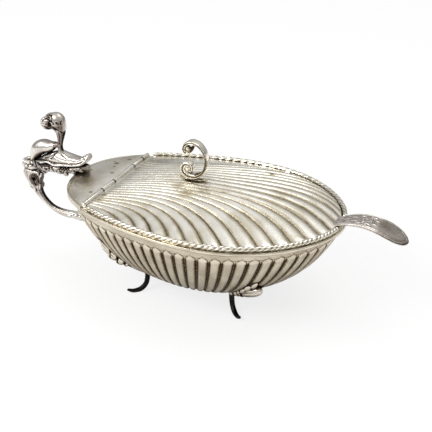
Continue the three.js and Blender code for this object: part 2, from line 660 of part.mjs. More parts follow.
addPiece('handle_loop', cut(sweep(LOOP, loopOptions), cupSpace, bowlSpace), BRIGHT_SILVER);
addPiece('handle_leaf_cup', cut(sweep(CUP, cupOptions), collarSpace), BRIGHT_SILVER);
addPiece('handle_bead_collar', join(beadCore, ...beads).translate(...COLLAR_PLACE), BRIGHT_SILVER);
addPiece('handle_wing', cut(sweep(WING, wingOptions), collarSpace), BRIGHT_SILVER);
addPiece('handle_figure', cut(figure, wingSpace, cupSpace, collarSpace), BRIGHT_SILVER);
addPiece('handle_bracket', cut(bracket, wingSpace, cupSpace, collarSpace, coverSpace), BRIGHT_SILVER);

// Serving spoon

const scoopRings = (lift) => Array.from({ length: SCOOP_ROWS }, (_row, row) => {
  const radial = (row + 1) / SCOOP_ROWS;
  const height = SCOOP_DEPTH * (radial ** 2 - 1) + lift;
  return Array.from({ length: SCOOP_SEGMENTS }, (_side, side) => {
    const turn = (side / SCOOP_SEGMENTS) * 2 * Math.PI;
    const x = SCOOP_LENGTH * radial * Math.cos(turn);
    const y = SCOOP_WIDTH * radial * Math.sin(turn);
    return new THREE.Vector3(x, y, height);
  });
});
const scoop = loft([...scoopRings(0), ...scoopRings(SCOOP_SHEET).reverse()])
  .rotateY(-SCOOP_TILT).translate(...SCOOP_PLACE);
const spoonHandle = sweep(SPOON_HANDLE, { steps: 44, sides: 10, corner: 0.75 });
addPiece('serving_spoon', join(spoonHandle, scoop), SPOON_SILVER);

// Feet

for (const [end, alongX] of [['front', 1], ['rear', -1]]) {
  for (const [side, alongY] of [['far', 1], ['near', -1]]) {
    const mirrored = (angle) => Math.atan2(Math.sin(angle) * alongY, Math.cos(angle) * alongX);
    const place = { x: FOOT_X * alongX, y: FOOT_Y * alongY };
    const budOptions = { ...place, heading: mirrored(BUD_HEADING), steps: 24, sides: 8 };
    const legOptions = { ...place, heading: mirrored(LEG_HEADING), steps: 14, sides: 8 };
    const legSpace = sweep(LEG, { ...legOptions, grow: GAP });
    const bud = cut(sweep(BUD, budOptions), bowlSpace, legSpace);
    const leg = cut(sweep(LEG, legOptions), bowlSpace, below(-RIM_HEIGHT));
    addPiece(`foot_bud_${end}_${side}`, bud, SILVER);
    addPiece(`foot_leg_${end}_${side}`, leg, BLACKENED);
  }
}

export default dish;
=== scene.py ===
# A covered shell dish in silver plate, with a fluted lid on a hinge, a cast handle and a spoon

import math

import bpy
import numpy as np
from mathutils.bvhtree import BVHTree
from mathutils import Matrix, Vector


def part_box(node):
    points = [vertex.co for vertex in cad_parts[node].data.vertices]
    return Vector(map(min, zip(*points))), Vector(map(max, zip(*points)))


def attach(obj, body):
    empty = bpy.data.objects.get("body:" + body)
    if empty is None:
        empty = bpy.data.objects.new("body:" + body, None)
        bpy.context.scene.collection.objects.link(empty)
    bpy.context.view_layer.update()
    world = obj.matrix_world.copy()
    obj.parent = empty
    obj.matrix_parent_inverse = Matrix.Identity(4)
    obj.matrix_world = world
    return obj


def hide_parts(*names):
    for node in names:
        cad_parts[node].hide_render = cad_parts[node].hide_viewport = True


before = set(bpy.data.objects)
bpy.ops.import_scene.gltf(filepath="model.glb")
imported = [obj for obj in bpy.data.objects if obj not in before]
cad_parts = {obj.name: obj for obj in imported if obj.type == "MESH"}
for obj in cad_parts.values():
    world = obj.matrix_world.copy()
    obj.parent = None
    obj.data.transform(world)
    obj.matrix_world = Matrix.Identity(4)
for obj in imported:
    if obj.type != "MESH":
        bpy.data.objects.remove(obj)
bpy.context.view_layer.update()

# Lengths are in millimetres from the middle of the rim, which stands this far over the floor
MM = 0.001
RIM_MIDDLE = np.array((2.75, 0.0, 68.5))

# Rim outline
HALF_LENGTH = 101.5
BEAM = 68.3
SWELL_TWICE = 0.019
SWELL_THRICE = -0.049

# Bowl
BOWL_INSET = 1.5
BOWL_WALL = 1.2
BOWL_DEPTH = 58.0
BOWL_CURVE_IN = 0.58
BOWL_CURVE_DOWN = 1.66
BOWL_SHIFT = -6.0
BOWL_LAST_TURN = 0.97
LOBES = 61
POINTS_PER_LOBE = 12
LOBE_HALF_WIDTH = 0.39
LOBE_SQUARENESS = 2.6
LOBE_FULL_PITCH = 8.0
BAND_LEVEL = 0.8
GROOVE_LEVEL = 1.5
ARCH_TOP_AT_TIP = -7.2
ARCH_TOP_AT_HANDLE = -10.6

# Lid and rear cover
GAP = 0.3
SHEET = 1.4
HINGE_X = -68.0
LID_CROWN = 10.5
LID_FLAT_BY_HINGE = 70.0
LID_RISE_POWER = 2.5
LID_INSET = 4.1
LID_BACK = -66.0
REAR_CROWN = 2.2
REAR_LENGTH = 32.0
COVER_FRONT = -70.0
FLANGE_DEPTH = 2.9

# Guides of the lid's creases: number, place on the hinge line, two handles, degrees at the rim
CREASE_GUIDES = np.array((
    (-13, -45.4, -65.0, -45.7, -64.6, -46.0, -131.6),
    (-12, -43.0, -52.0, -44.5, -39.0, -51.0, -110.0),
    (-9, -33.6, -32.0, -35.5, -10.0, -41.6, -87.0),
    (-6, -24.2, -8.0, -25.5, 12.0, -29.7, -65.0),
    (-3, -13.2, 14.0, -19.4, 34.0, -9.5, -43.5),
    (0, -4.4, 28.0, -8.6, 54.0, 12.0, -19.5),
    (3, 9.2, 34.0, -0.8, 58.0, 50.0, 7.0),
    (5, 18.6, 18.0, 1.0, 47.0, 67.0, 25.0),
    (7, 29.7, -6.0, 6.4, 24.0, 61.0, 52.0),
    (8, 34.4, -12.0, 18.6, 0.0, 47.0, 66.0),
))
FIRST_CREASE = -13
LAST_CREASE = 8
FAR_EDGE_END = 64.0
POINTS_PER_FLUTE = 12
FLUTE_ROWS = 130
FLUTE_DEPTH = 0.24
FLUTE_DEEPEST = 1.9
FLUTE_ROUNDNESS = 0.62
FLUTE_CREST = 0.8
FLUTE_END = 3.4
FINIAL_X = -7.0

# Stains and pits: place, size and strength; on the cover, two broad marks by the handle are a painted
# reflection of it
LID_STAINS = (
    (66.0, 12.0, 40.0, 0.09),
    (-14.1, -10.5, 4.5, 0.30), (-3.8, -17.8, 6.0, 0.32), (6.0, -12.0, 5.0, 0.20),
    (34.4, 43.3, 1.6, 0.7), (18.4, -7.9, 1.2, 0.45), (-63.2, -28.0, 1.5, 0.7),
    (-61.5, -35.5, 3.0, 0.35), (-62.5, 20.0, 2.5, 0.25), (52.0, 12.0, 7.0, 0.15),
    (-30.0, 30.0, 9.0, 0.12), (38.0, -30.0, 6.0, 0.14), (-24.0, -38.0, 5.0, 0.14),
)
COVER_STAINS_AND_REFLECTION = (
    (-81.2, 22.0, 1.5, 0.8), (-79.5, 15.5, 0.9, 0.55), (-84.2, 24.6, 0.9, 0.6),
    (-76.1, 32.3, 1.5, 0.5), (-75.4, 5.1, 1.2, 0.6), (-73.4, -28.0, 1.1, 0.6),
    # The first two marks on the next line are a painted reflection of the handle
    (-86.5, -14.0, 8.0, 0.22), (-79.5, -19.0, 3.2, 0.10), (-74.5, 40.0, 5.0, 0.12),
)

# Rope border
ROPE_RADIUS = 1.7
ROPE_HALF_OPENING = 9.2
ROPE_STRANDS = 3
ROPE_LENGTH = 180.0
ROPE_NEAR_LUMP = 3.5
ROPE_FAR_LUMP = 5.0
ROPE_UNEVEN = ((61, 0, 0.5), (143, 1, 0.35), (27, 0, 0.3))
ROPE_TAPER = 120
ROPE_WEAR = 0.05
ROPE_VALLEY = 0.70


# Selecting and editing a piece

def name_piece(piece, name):
    piece.name = name
    piece.data.name = name


def deselect_everything():
    bpy.ops.object.select_all(action="DESELECT")


def take(piece):
    deselect_everything()
    piece.select_set(True)
    bpy.context.view_layer.objects.active = piece


def start_editing(piece, select="SELECT"):
    take(piece)
    bpy.ops.object.mode_set(mode="EDIT")
    bpy.ops.mesh.select_all(action=select)


def stop_editing():
    bpy.ops.object.mode_set(mode="OBJECT")


def points_of(piece):
    flat = np.empty(len(piece.data.vertices) * 3, np.float32)
    piece.data.vertices.foreach_get("co", flat)
    return flat.reshape(-1, 3).astype(float)


def move_points(piece, points):
    piece.data.vertices.foreach_set("co", np.ascontiguousarray(points, np.float32).ravel())
    piece.data.update()


def set_on_feet(piece, points):
    move_points(piece, (points + RIM_MIDDLE) * MM)


# Each point's painted darkness, kept in an attribute: tarnish, and painted shade in hollows,
# recesses, joins and shaded sides
def paint_tarnish_and_shade(piece, amount):
    layer = piece.data.attributes.get("tarnish_and_shade")
    if layer is None:
        layer = piece.data.attributes.new("tarnish_and_shade", "FLOAT", "POINT")
    layer.data.foreach_set("value", np.ascontiguousarray(np.clip(amount, 0, 1), np.float32))


def tarnish_and_shade_of(piece):
    amount = np.zeros(len(piece.data.vertices), np.float32)
    if piece.data.attributes.get("tarnish_and_shade"):
        piece.data.attributes["tarnish_and_shade"].data.foreach_get("value", amount)
    return amount


def drawn_points(piece):
    return points_of(piece) / MM - RIM_MIDDLE


def edge_ends(piece):
    ends = np.empty(len(piece.data.edges) * 2, np.int32)
    piece.data.edges.foreach_get("vertices", ends)
    return ends.reshape(-1, 2)


def normals_of(piece):
    normals = np.empty(len(piece.data.vertices) * 3, np.float32)
    piece.data.vertices.foreach_get("normal", normals)
    return normals.reshape(-1, 3).astype(float)


def apply_modifier(piece, kind, **settings):
    take(piece)
    modifier = piece.modifiers.new(kind.lower(), kind)
    for name, value in settings.items():
        setattr(modifier, name, value)
    bpy.ops.object.modifier_apply(modifier=modifier.name)


def face_outward(piece):
    start_editing(piece)
    bpy.ops.mesh.normals_make_consistent(inside=False)
    stop_editing()


def weld(piece, distance=0.02):
    start_editing(piece)
    bpy.ops.mesh.remove_doubles(threshold=distance * MM)
    bpy.ops.mesh.normals_make_consistent(inside=False)
    stop_editing()


def close_ends(piece):
    start_editing(piece)
    bpy.ops.mesh.fill_holes(sides=0)
    bpy.ops.mesh.normals_make_consistent(inside=False)
    stop_editing()


def shade(piece, degrees=50.0):
    take(piece)
    bpy.ops.object.shade_smooth_by_angle(angle=math.radians(degrees))


def join_pieces(name, *pieces):
    deselect_everything()
    for piece in pieces:
        piece.select_set(True)
    bpy.context.view_layer.objects.active = pieces[0]
    bpy.ops.object.join()
    whole = bpy.context.view_layer.objects.active
    name_piece(whole, name)
    return whole


# A grid moved to place(u, v), which gives its points and how dark each one is painted, with tarnish
# and painted shade

def shaped_sheet(name, columns, rows, place):
    deselect_everything()
    bpy.ops.mesh.primitive_grid_add(x_subdivisions=columns, y_subdivisions=rows, size=1.0)
    piece = bpy.context.object
    name_piece(piece, name)
    flat = points_of(piece) + 0.5
    points, tarnish_and_shade = place(flat[:, 0], flat[:, 1])
    set_on_feet(piece, points)
    paint_tarnish_and_shade(piece, tarnish_and_shade)
    return piece


# Values of a smooth curve through stations, at along from 0 to 1

def curve_through(stations, along):
    rows = np.asarray(stations, float)
    last = len(rows) - 2
    rows = np.vstack((2 * rows[0] - rows[1], rows, 2 * rows[-1] - rows[-2]))
    place = np.clip(along, 0, 1) * (last + 1)
    index = np.minimum(place.astype(int), last)
    part = (place - index)[:, None]
    before, start, end, after = (rows[index + shift] for shift in range(4))
    return 0.5 * (
        2 * start + (end - before) * part
        + (2 * before - 5 * start + 4 * end - after) * part ** 2
        + (3 * start - before - 3 * end + after) * part ** 3
    )


# A circle extruded along stations of (out, height, half across, half thick), in a given section

CURVE_STEP = 0.002


def plain_section(angle, along):
    return np.cos(angle), np.sin(angle)


def swept_rod(name, stations, sides, steps, section=plain_section, x=0.0, y=0.0, heading=0.0):
    deselect_everything()
    bpy.ops.mesh.primitive_circle_add(vertices=sides, radius=1.0, fill_type="NGON")
    rod = bpy.context.object
    name_piece(rod, name)
    bpy.ops.object.mode_set(mode="EDIT")
    bpy.ops.mesh.select_all(action="SELECT")
    for _ in range(steps):
        bpy.ops.mesh.extrude_region_move(TRANSFORM_OT_translate={"value": (0, 0, 1)})
    stop_editing()
    straight = points_of(rod)
    angle = np.arctan2(straight[:, 1], straight[:, 0])
    along = straight[:, 2] / steps
    middle = curve_through(stations, along)
    ahead = (curve_through(stations, along + CURVE_STEP)
             - curve_through(stations, along - CURVE_STEP))
    length = np.hypot(ahead[:, 0], ahead[:, 1])
    ahead_out = ahead[:, 0] / length
    ahead_up = ahead[:, 1] / length
    across, thick = section(angle, along)
    across = across * middle[:, 2]
    thick = thick * middle[:, 3]
    out = middle[:, 0] - ahead_up * thick
    up = middle[:, 1] + ahead_out * thick
    points = np.stack((
        x + out * math.cos(heading) - across * math.sin(heading),
        y + out * math.sin(heading) + across * math.cos(heading),
        up,
    ), axis=1)
    set_on_feet(rod, points)
    face_outward(rod)
    return rod


# Darkens hollows with tarnish and painted shade, by how far each point lies below the surface
# smoothed over it

def shade_and_tarnish_hollows(piece, full_depth=0.35, spread=12, least=0.04):
    count = len(piece.data.vertices)
    ends = edge_ends(piece)
    first, second = ends.T
    edges_at = np.maximum(np.bincount(ends.ravel(), minlength=count), 1)[:, None]
    points = points_of(piece)
    smoothed = points.copy()
    for _ in range(spread):
        around = np.stack([
            np.bincount(first, smoothed[second, axis], count)
            + np.bincount(second, smoothed[first, axis], count) for axis in range(3)
        ], axis=1)
        smoothed = 0.5 * smoothed + 0.5 * around / edges_at
    below = np.einsum("ij,ij->i", smoothed - points, normals_of(piece)) / MM
    paint_tarnish_and_shade(piece, least + np.clip(below / full_depth, 0, 1))


# Paints shade and tarnish into recesses, by how much of what a point faces is close by

RAY_COUNT = 16
RAY_LEAST_TILT = 0.2
RAY_START = 0.08
RAY_FADE = 0.6
OPEN_SHARE = 0.12


def search_tree(pieces):
    corners = []
    faces = []
    for piece in pieces:
        start = len(corners)
        corners.extend(points_of(piece).tolist())
        faces.extend([start + corner for corner in face.vertices] for face in piece.data.polygons)
    return BVHTree.FromPolygons(corners, faces), np.array(corners)


def shade_and_tarnish_recesses(pieces, others, reach, gain):
    tree = search_tree([*pieces, *others])[0]
    turn = np.arange(RAY_COUNT) * math.pi * (3 - math.sqrt(5))
    up = 1 - 2 * (np.arange(RAY_COUNT) + 0.5) / RAY_COUNT
    flat = np.sqrt(1 - up ** 2)
    rays = np.stack((flat * np.cos(turn), flat * np.sin(turn), up), axis=1)
    reach = reach * MM
    for piece in pieces:
        normals = normals_of(piece)
        starts = points_of(piece) + normals * RAY_START * MM
        facing = normals @ rays.T
        closed = np.zeros(len(starts))
        for index, (start, tilts) in enumerate(zip(starts.tolist(), facing)):
            blocked = 0.0
            for ray in np.nonzero(tilts > RAY_LEAST_TILT)[0]:
                away = tree.ray_cast(start, rays[ray], reach)[3]
                if away is not None:
                    blocked += tilts[ray] * (1 - RAY_FADE * away / reach)
            closed[index] = blocked
        share = closed / np.maximum(np.where(facing > RAY_LEAST_TILT, facing, 0).sum(axis=1), 1e-6)
        paint_tarnish_and_shade(piece, tarnish_and_shade_of(piece) + np.clip(share - OPEN_SHARE, 0, 1) * gain)


# Paints a contact shadow on a sheet close to what is soldered on it

def paint_contact_shadow(sheet, sitting, reach, amount):
    tree, limits = search_tree(sitting)
    low = limits.min(axis=0) - reach * MM
    high = limits.max(axis=0) + reach * MM
    points = points_of(sheet)
    dark = np.zeros(len(points))
    for index in np.nonzero(((points > low) & (points < high)).all(axis=1))[0]:
        away = tree.find_nearest(points[index], reach * MM)[3]
        if away is not None:
            dark[index] = 1 - away / (reach * MM)
    paint_tarnish_and_shade(sheet, tarnish_and_shade_of(sheet) + dark * amount)


# The rim outline

def swell_at(angle):
    return 1 + SWELL_TWICE * np.cos(2 * angle) + SWELL_THRICE * np.cos(3 * angle)


def outline(angle, inset):
    across = (BEAM - inset) * swell_at(angle)
    return (HALF_LENGTH - inset) * np.cos(angle), across * np.sin(angle)


def outline_angle_at(x, inset):
    return math.acos(x / (HALF_LENGTH - inset))


# How far out a point is, from 0 in the middle to 1 on the outline

def radial_of(x, y, inset):
    angle = np.arctan2(y / (BEAM - inset), x / (HALF_LENGTH - inset))
    for _ in range(4):
        swell = swell_at(angle)
        angle = np.arctan2(y / ((BEAM - inset) * swell), x / (HALF_LENGTH - inset))
    return np.hypot(x / (HALF_LENGTH - inset), y / ((BEAM - inset) * swell))


# Length of rim from the tip, as a share of the whole

RIM_ANGLES = np.linspace(0, 2 * math.pi, 4001)
RIM_X, RIM_Y = outline(RIM_ANGLES, BOWL_INSET)
RIM_STEPS = np.hypot(np.diff(RIM_X), np.diff(RIM_Y))
RIM_LENGTH = float(RIM_STEPS.sum())
RIM_SHARE = np.concatenate(((0.0,), np.cumsum(RIM_STEPS))) / RIM_LENGTH


# Smooth step from 0 to 1 between two values

def ease(value, low, high):
    part = np.clip((value - low) / (high - low), 0, 1)
    return part * part * (3 - 2 * part)


# A soft line of 1 along a middle value, which fades to 0 at either side

def ridge(value, middle, width):
    return np.exp(-((value - middle) / width) ** 2)


# How dark the stains and pits make a place

def stains_at(x, y, stains):
    return sum(
        strength * np.exp(-((x - stain_x) ** 2 + (y - stain_y) ** 2) / size ** 2)
        for stain_x, stain_y, size, strength in stains)


# Bowl: its rows crowd round the arched tops of the lobes, between ROWS_TO_ARCH and ROWS_BELOW

ROWS_TO_ARCH = 0.12
ROWS_BELOW = 0.45
CROWDED_DEPTH = 7.0
FADE_SCALES = (0.10, 0.26)
# The underside's darkening is painted shade; the grooves and the lines round the arches are dark with
# tarnish and painted shade; the streaks are wear
UNDERSIDE_PAINTED_SHADE = 0.55
GROOVE_DARK = 0.62
GROOVE_LINE_DARK = 0.50
ARCH_LINE_DARK = 0.85
LOBE_STREAKS = 0.14
BAND_STREAKS = 0.10


# The bowl's outside without its lobes, or that much less of it

def bowl_at(angle, turn, cut=0.0):
    scale = np.cos(turn) ** BOWL_CURVE_IN
    height = -(BOWL_DEPTH - cut) * np.sin(turn) ** BOWL_CURVE_DOWN
    rim_x, rim_y = outline(angle, BOWL_INSET + cut)
    return rim_x * scale + BOWL_SHIFT * (1 - scale), rim_y * scale, height, scale


def place_bowl(u, v):
    angle = np.interp(u, RIM_SHARE, RIM_ANGLES)
    from_tip = 0.5 - 0.5 * np.cos(angle)
    arch_top = ARCH_TOP_AT_TIP + (ARCH_TOP_AT_HANDLE - ARCH_TOP_AT_TIP) * from_tip
    turn_at_arch = np.arcsin((-arch_top / BOWL_DEPTH) ** (1 / BOWL_CURVE_DOWN))
    turn_below = np.arcsin(
        ((-arch_top + CROWDED_DEPTH) / BOWL_DEPTH) ** (1 / BOWL_CURVE_DOWN))
    last = BOWL_LAST_TURN * math.pi / 2
    crowded = (v - ROWS_TO_ARCH) / (ROWS_BELOW - ROWS_TO_ARCH)
    spread = (v - ROWS_BELOW) / (1 - ROWS_BELOW)
    turn = np.where(
        v < ROWS_TO_ARCH, v / ROWS_TO_ARCH * turn_at_arch,
        np.where(
            v < ROWS_BELOW, turn_at_arch + crowded * (turn_below - turn_at_arch),
            turn_below + spread * (last - turn_below),
        ),
    )
    x, y, height, scale = bowl_at(angle, turn)
    pitch = RIM_LENGTH / LOBES * scale
    phase = (u * LOBES + 0.5) % 1.0 - 0.5
    across = np.abs(phase) * pitch
    half_width = LOBE_HALF_WIDTH * pitch
    arch_centre = arch_top - half_width
    above = np.maximum(height - arch_centre, 0)
    away = np.hypot(across, above) / half_width
    lobe = np.sqrt(np.clip(1 - away ** LOBE_SQUARENESS, 0, 1))
    fade = ease(scale, *FADE_SCALES)
    in_groove = ease(arch_top - height, -0.3, 2.0)
    level = BAND_LEVEL + (GROOVE_LEVEL - BAND_LEVEL) * in_groove
    level = level * ease(-height, 3.0, 3.4) * np.clip(pitch / LOBE_FULL_PITCH, 0.35, 1)
    out = -level * (1 - lobe) * fade
    rim_x, rim_y = outline(angle, BOWL_INSET)
    lean = np.clip(np.sin(turn), 0, 1) ** 2
    flat = np.hypot(rim_x / (HALF_LENGTH ** 2), rim_y / (BEAM ** 2))
    normal_x = rim_x / HALF_LENGTH ** 2 / flat * np.sqrt(1 - lean ** 2)
    normal_y = rim_y / BEAM ** 2 / flat * np.sqrt(1 - lean ** 2)
    points = np.stack((x + normal_x * out, y + normal_y * out, height - lean * out), axis=1)
    # Tarnish and painted shade in the grooves and along the arches
    groove_line = GROOVE_LINE_DARK * ridge(away, 0.99, 0.13)
    groove = GROOVE_DARK * ease(away, 0.74, 0.98) + groove_line
    arch_line = ARCH_LINE_DARK * ridge(away, 1.05, 0.09)
    dark = np.where(height > arch_centre, arch_line, groove)
    shoulder = ease(arch_centre - height, -0.4, 0.9)
    dark = np.where(height > arch_centre - 0.9, np.maximum(arch_line, groove * shoulder), dark)
    on_lobe = (away < 0.8) * (height < arch_centre)
    dark = dark + LOBE_STREAKS * on_lobe * np.abs(np.sin(17 * u * LOBES + 0.04 * height))
    # The lobes are a little darker towards the bottom
    dark = dark + on_lobe * (0.06 + 0.10 * ease(-height, 24.0, 44.0))
    on_band = (height > arch_top) * (height < -3.2)
    dark = dark + on_band * (BAND_STREAKS + BAND_STREAKS * np.abs(np.sin(5.1 * height)))
    # Painted shade over the underside, where the bowl turns in
    painted_underside_shade = UNDERSIDE_PAINTED_SHADE * ease(lean, 0.72, 0.87)
    return points, dark * (0.4 + 0.6 * fade) + painted_underside_shade


# Closes the small hole under the middle of the bowl, whose edge lies below a height

def close_below(piece, height):
    start_editing(piece, "DESELECT")
    bpy.ops.mesh.select_non_manifold(extend=False)
    stop_editing()
    chosen = np.zeros(len(piece.data.edges), bool)
    piece.data.edges.foreach_get("select", chosen)
    ends = edge_ends(piece)
    limit = (height + RIM_MIDDLE[2]) * MM
    chosen &= points_of(piece)[:, 2][ends].max(axis=1) < limit
    corners = np.zeros(len(piece.data.vertices), bool)
    corners[ends[chosen].ravel()] = True
    piece.data.vertices.foreach_set("select", corners)
    piece.data.edges.foreach_set("select", chosen)
    take(piece)
    bpy.ops.object.mode_set(mode="EDIT")
    bpy.ops.mesh.edge_face_add()
    bpy.ops.mesh.poke()
    bpy.ops.mesh.select_all(action="SELECT")
    bpy.ops.mesh.normals_make_consistent(inside=False)
    stop_editing()


# The bowl's inside keeps only a faint share of the tarnish and painted shade of its outside

INSIDE_TARNISH = 0.05
INSIDE_SHARE = 0.16


def keep_inside_clean(bowl):
    facing = np.einsum("ij,ij->i", drawn_points(bowl), normals_of(bowl))
    tarnish_and_shade = tarnish_and_shade_of(bowl)
    inside = INSIDE_TARNISH + INSIDE_SHARE * np.minimum(tarnish_and_shade, 1)
    paint_tarnish_and_shade(bowl, np.where(facing < 0, inside, tarnish_and_shade))


def make_bowl():
    bowl = shaped_sheet("dressed_bowl", LOBES * POINTS_PER_LOBE, 52, place_bowl)
    weld(bowl)
    close_below(bowl, -50.0)
    apply_modifier(bowl, "SOLIDIFY", thickness=BOWL_WALL * MM, offset=-1.0)
    shade(bowl, 60.0)
    return bowl


# Lid: the rise of its crown, and its flutes, which follow the creases

def lid_rise(x, radial):
    away = np.clip((x - HINGE_X) / LID_FLAT_BY_HINGE, 0, 1)
    return LID_CROWN * (1 - radial ** 2) * (1 - (1 - away) ** LID_RISE_POWER)


def crease_line(number, along):
    guides = CREASE_GUIDES[:, 0]
    start_y, x1, y1, x2, y2, end = (
        np.interp(number, guides, column) for column in CREASE_GUIDES[:, 1:].T)
    end_x, end_y = outline(np.radians(end), LID_INSET)
    left = 1 - along
    x = left ** 3 * LID_BACK + 3 * left ** 2 * along * x1
    x = x + 3 * left * along ** 2 * x2 + along ** 3 * end_x
    y = left ** 3 * start_y + 3 * left ** 2 * along * y1
    y = y + 3 * left * along ** 2 * y2 + along ** 3 * end_y
    return x, y


def flute_width(number, along):
    middle = np.minimum(np.floor(number), LAST_CREASE - 1)
    far_x, far_y = crease_line(middle + 1, along)
    near_x, near_y = crease_line(middle, along)
    ahead_x, ahead_y = crease_line(middle + 0.5, np.minimum(along + 0.02, 1.0))
    behind_x, behind_y = crease_line(middle + 0.5, np.maximum(along - 0.02, 0.0))
    run_x = ahead_x - behind_x
    run_y = ahead_y - behind_y
    turn = (far_x - near_x) * run_y - (far_y - near_y) * run_x
    return np.abs(turn) / np.hypot(run_x, run_y)


# Lid darkening: the crease lines hold tarnish and painted shade, and each flute's shady flank is
# painted shade
LID_EDGE_DARK = 0.12
FLUTE_LINE_DARK = 0.58
SHADY_FLANK_DARK = 0.27
WEAR_AND_REFLECTION_STREAKS = 0.18
FINIAL_CLEARANCE = (3.0, 6.0)


def place_lid(u, v):
    number = FIRST_CREASE + u * (LAST_CREASE + 1 - FIRST_CREASE)
    inner = np.minimum(number, LAST_CREASE)
    x, y = crease_line(inner, v)
    far_start = outline_angle_at(LID_BACK, LID_INSET)
    far_end = math.radians(FAR_EDGE_END)
    edge_x, edge_y = outline(far_start + (far_end - far_start) * v, LID_INSET)
    share = np.clip(number - LAST_CREASE, 0, 1)
    x = x + (edge_x - x) * share
    y = y + (edge_y - y) * share
    radial = np.minimum(radial_of(x, y, LID_INSET), 1.0)
    phase = number - np.floor(number)
    rounded = np.clip(np.sin(math.pi * phase), 0, 1) ** FLUTE_ROUNDNESS
    deep = np.clip(FLUTE_DEPTH * flute_width(number, v), 0.25, FLUTE_DEEPEST)
    from_rim = np.clip((1 - radial) * BEAM / FLUTE_END, 0, 1)
    ends = np.sqrt(1 - (1 - from_rim) ** 2) * ease(v, 0.0, 0.05)
    clear = ease(np.hypot(x - FINIAL_X, y), *FINIAL_CLEARANCE)
    fluted = np.where(number >= LAST_CREASE - 0.001, 0.0, 1.0) * ends * clear
    rise = fluted * deep * (rounded - FLUTE_CREST)
    height = GAP + SHEET + lid_rise(x, radial) + rise
    points = np.stack((x, y, height), axis=1)
    # Painted shade and tarnish along the creases, and painted shade on one flank of each flute
    line = np.clip(1 - 1.35 * rounded, 0, 1) * np.clip(deep / 1.2, 0.3, 1) * fluted
    shady_flank = ease(phase, 0.40, 0.92) * np.clip(deep / 1.5, 0.25, 1) * fluted
    stains = stains_at(x, y, LID_STAINS)
    # Streaks along the flutes: partly wear, partly painted reflection
    streaks = np.sin(37 * number + 2.6 * np.sin(9 * v + number)) * np.sin(23 * v + 5 * number)
    worn = WEAR_AND_REFLECTION_STREAKS * np.clip(streaks, 0, 1) * fluted * np.clip(deep / 1.5, 0, 1)
    dark = LID_EDGE_DARK * (1 - ends) + FLUTE_LINE_DARK * line + SHADY_FLANK_DARK * shady_flank
    return points, dark + stains + worn


def make_lid():
    flutes = LAST_CREASE + 1 - FIRST_CREASE
    lid = shaped_sheet("dressed_lid", flutes * POINTS_PER_FLUTE, FLUTE_ROWS, place_lid)
    weld(lid, 0.01)
    apply_modifier(lid, "SOLIDIFY", thickness=SHEET * MM, offset=-1.0)
    shade(lid, 60.0)
    return lid


# Rear cover, with a line along its rim and its edge rolled over and turned down

COVER_RIM_LINE = 0.76
COVER_ROLL = 0.8
COVER_TURN_DOWN = 0.92
COVER_SHEET = 1.1
ROLL_RADIUS = 1.3
PIT_DEPTH = 0.25
DEEP_PIT = 0.35


def place_cover(u, v):
    start = outline_angle_at(COVER_FRONT, 0.0)
    angle = start + (2 * math.pi - 2 * start) * u
    edge_x, edge_y = outline(angle, 0.0)
    inner_x, inner_y = outline(angle, ROLL_RADIUS)
    across = np.clip(v / COVER_ROLL, 0, 1)
    x = COVER_FRONT + (np.minimum(inner_x, COVER_FRONT) - COVER_FRONT) * across
    y = inner_y
    away = np.clip((HINGE_X - x) / REAR_LENGTH, 0, 1)
    radial = radial_of(x, y, 0.0)
    crown = REAR_CROWN * (1 - radial ** 4) * np.sin(math.pi * away ** 0.7)
    height = GAP + SHEET + np.maximum(crown, 0)
    roll = (v - COVER_ROLL) / (COVER_TURN_DOWN - COVER_ROLL)
    roll = np.clip(roll, 0, 1) * math.pi / 2
    drop = np.clip((v - COVER_TURN_DOWN) / (1 - COVER_TURN_DOWN), 0, 1)
    on_roll = v > COVER_ROLL
    x = np.where(on_roll, inner_x + (edge_x - inner_x) * np.sin(roll), x)
    y = np.where(on_roll, inner_y + (edge_y - inner_y) * np.sin(roll), y)
    height = height - np.where(on_roll, ROLL_RADIUS * (1 - np.cos(roll)), 0) - drop * FLANGE_DEPTH
    x = np.minimum(x, COVER_FRONT)
    rim_line = ridge(v, COVER_RIM_LINE, 0.012)
    height = height - 0.22 * rim_line
    # Pits and stains, and a painted reflection of the handle
    pits_and_reflection = stains_at(x, y, COVER_STAINS_AND_REFLECTION)
    height = height - PIT_DEPTH * np.where(pits_and_reflection > DEEP_PIT, pits_and_reflection, 0)
    return np.stack((x, y, height), axis=1), 0.12 + 0.18 * on_roll + 0.3 * rim_line + pits_and_reflection


def make_cover():
    cover = shaped_sheet("dressed_cover", 200, 90, place_cover)
    weld(cover, 0.01)
    apply_modifier(cover, "SOLIDIFY", thickness=COVER_SHEET * MM, offset=-1.0)
    shade(cover, 60.0)
    return cover


# Rope border: strands twisted round each other along the rim, coarser on the far side

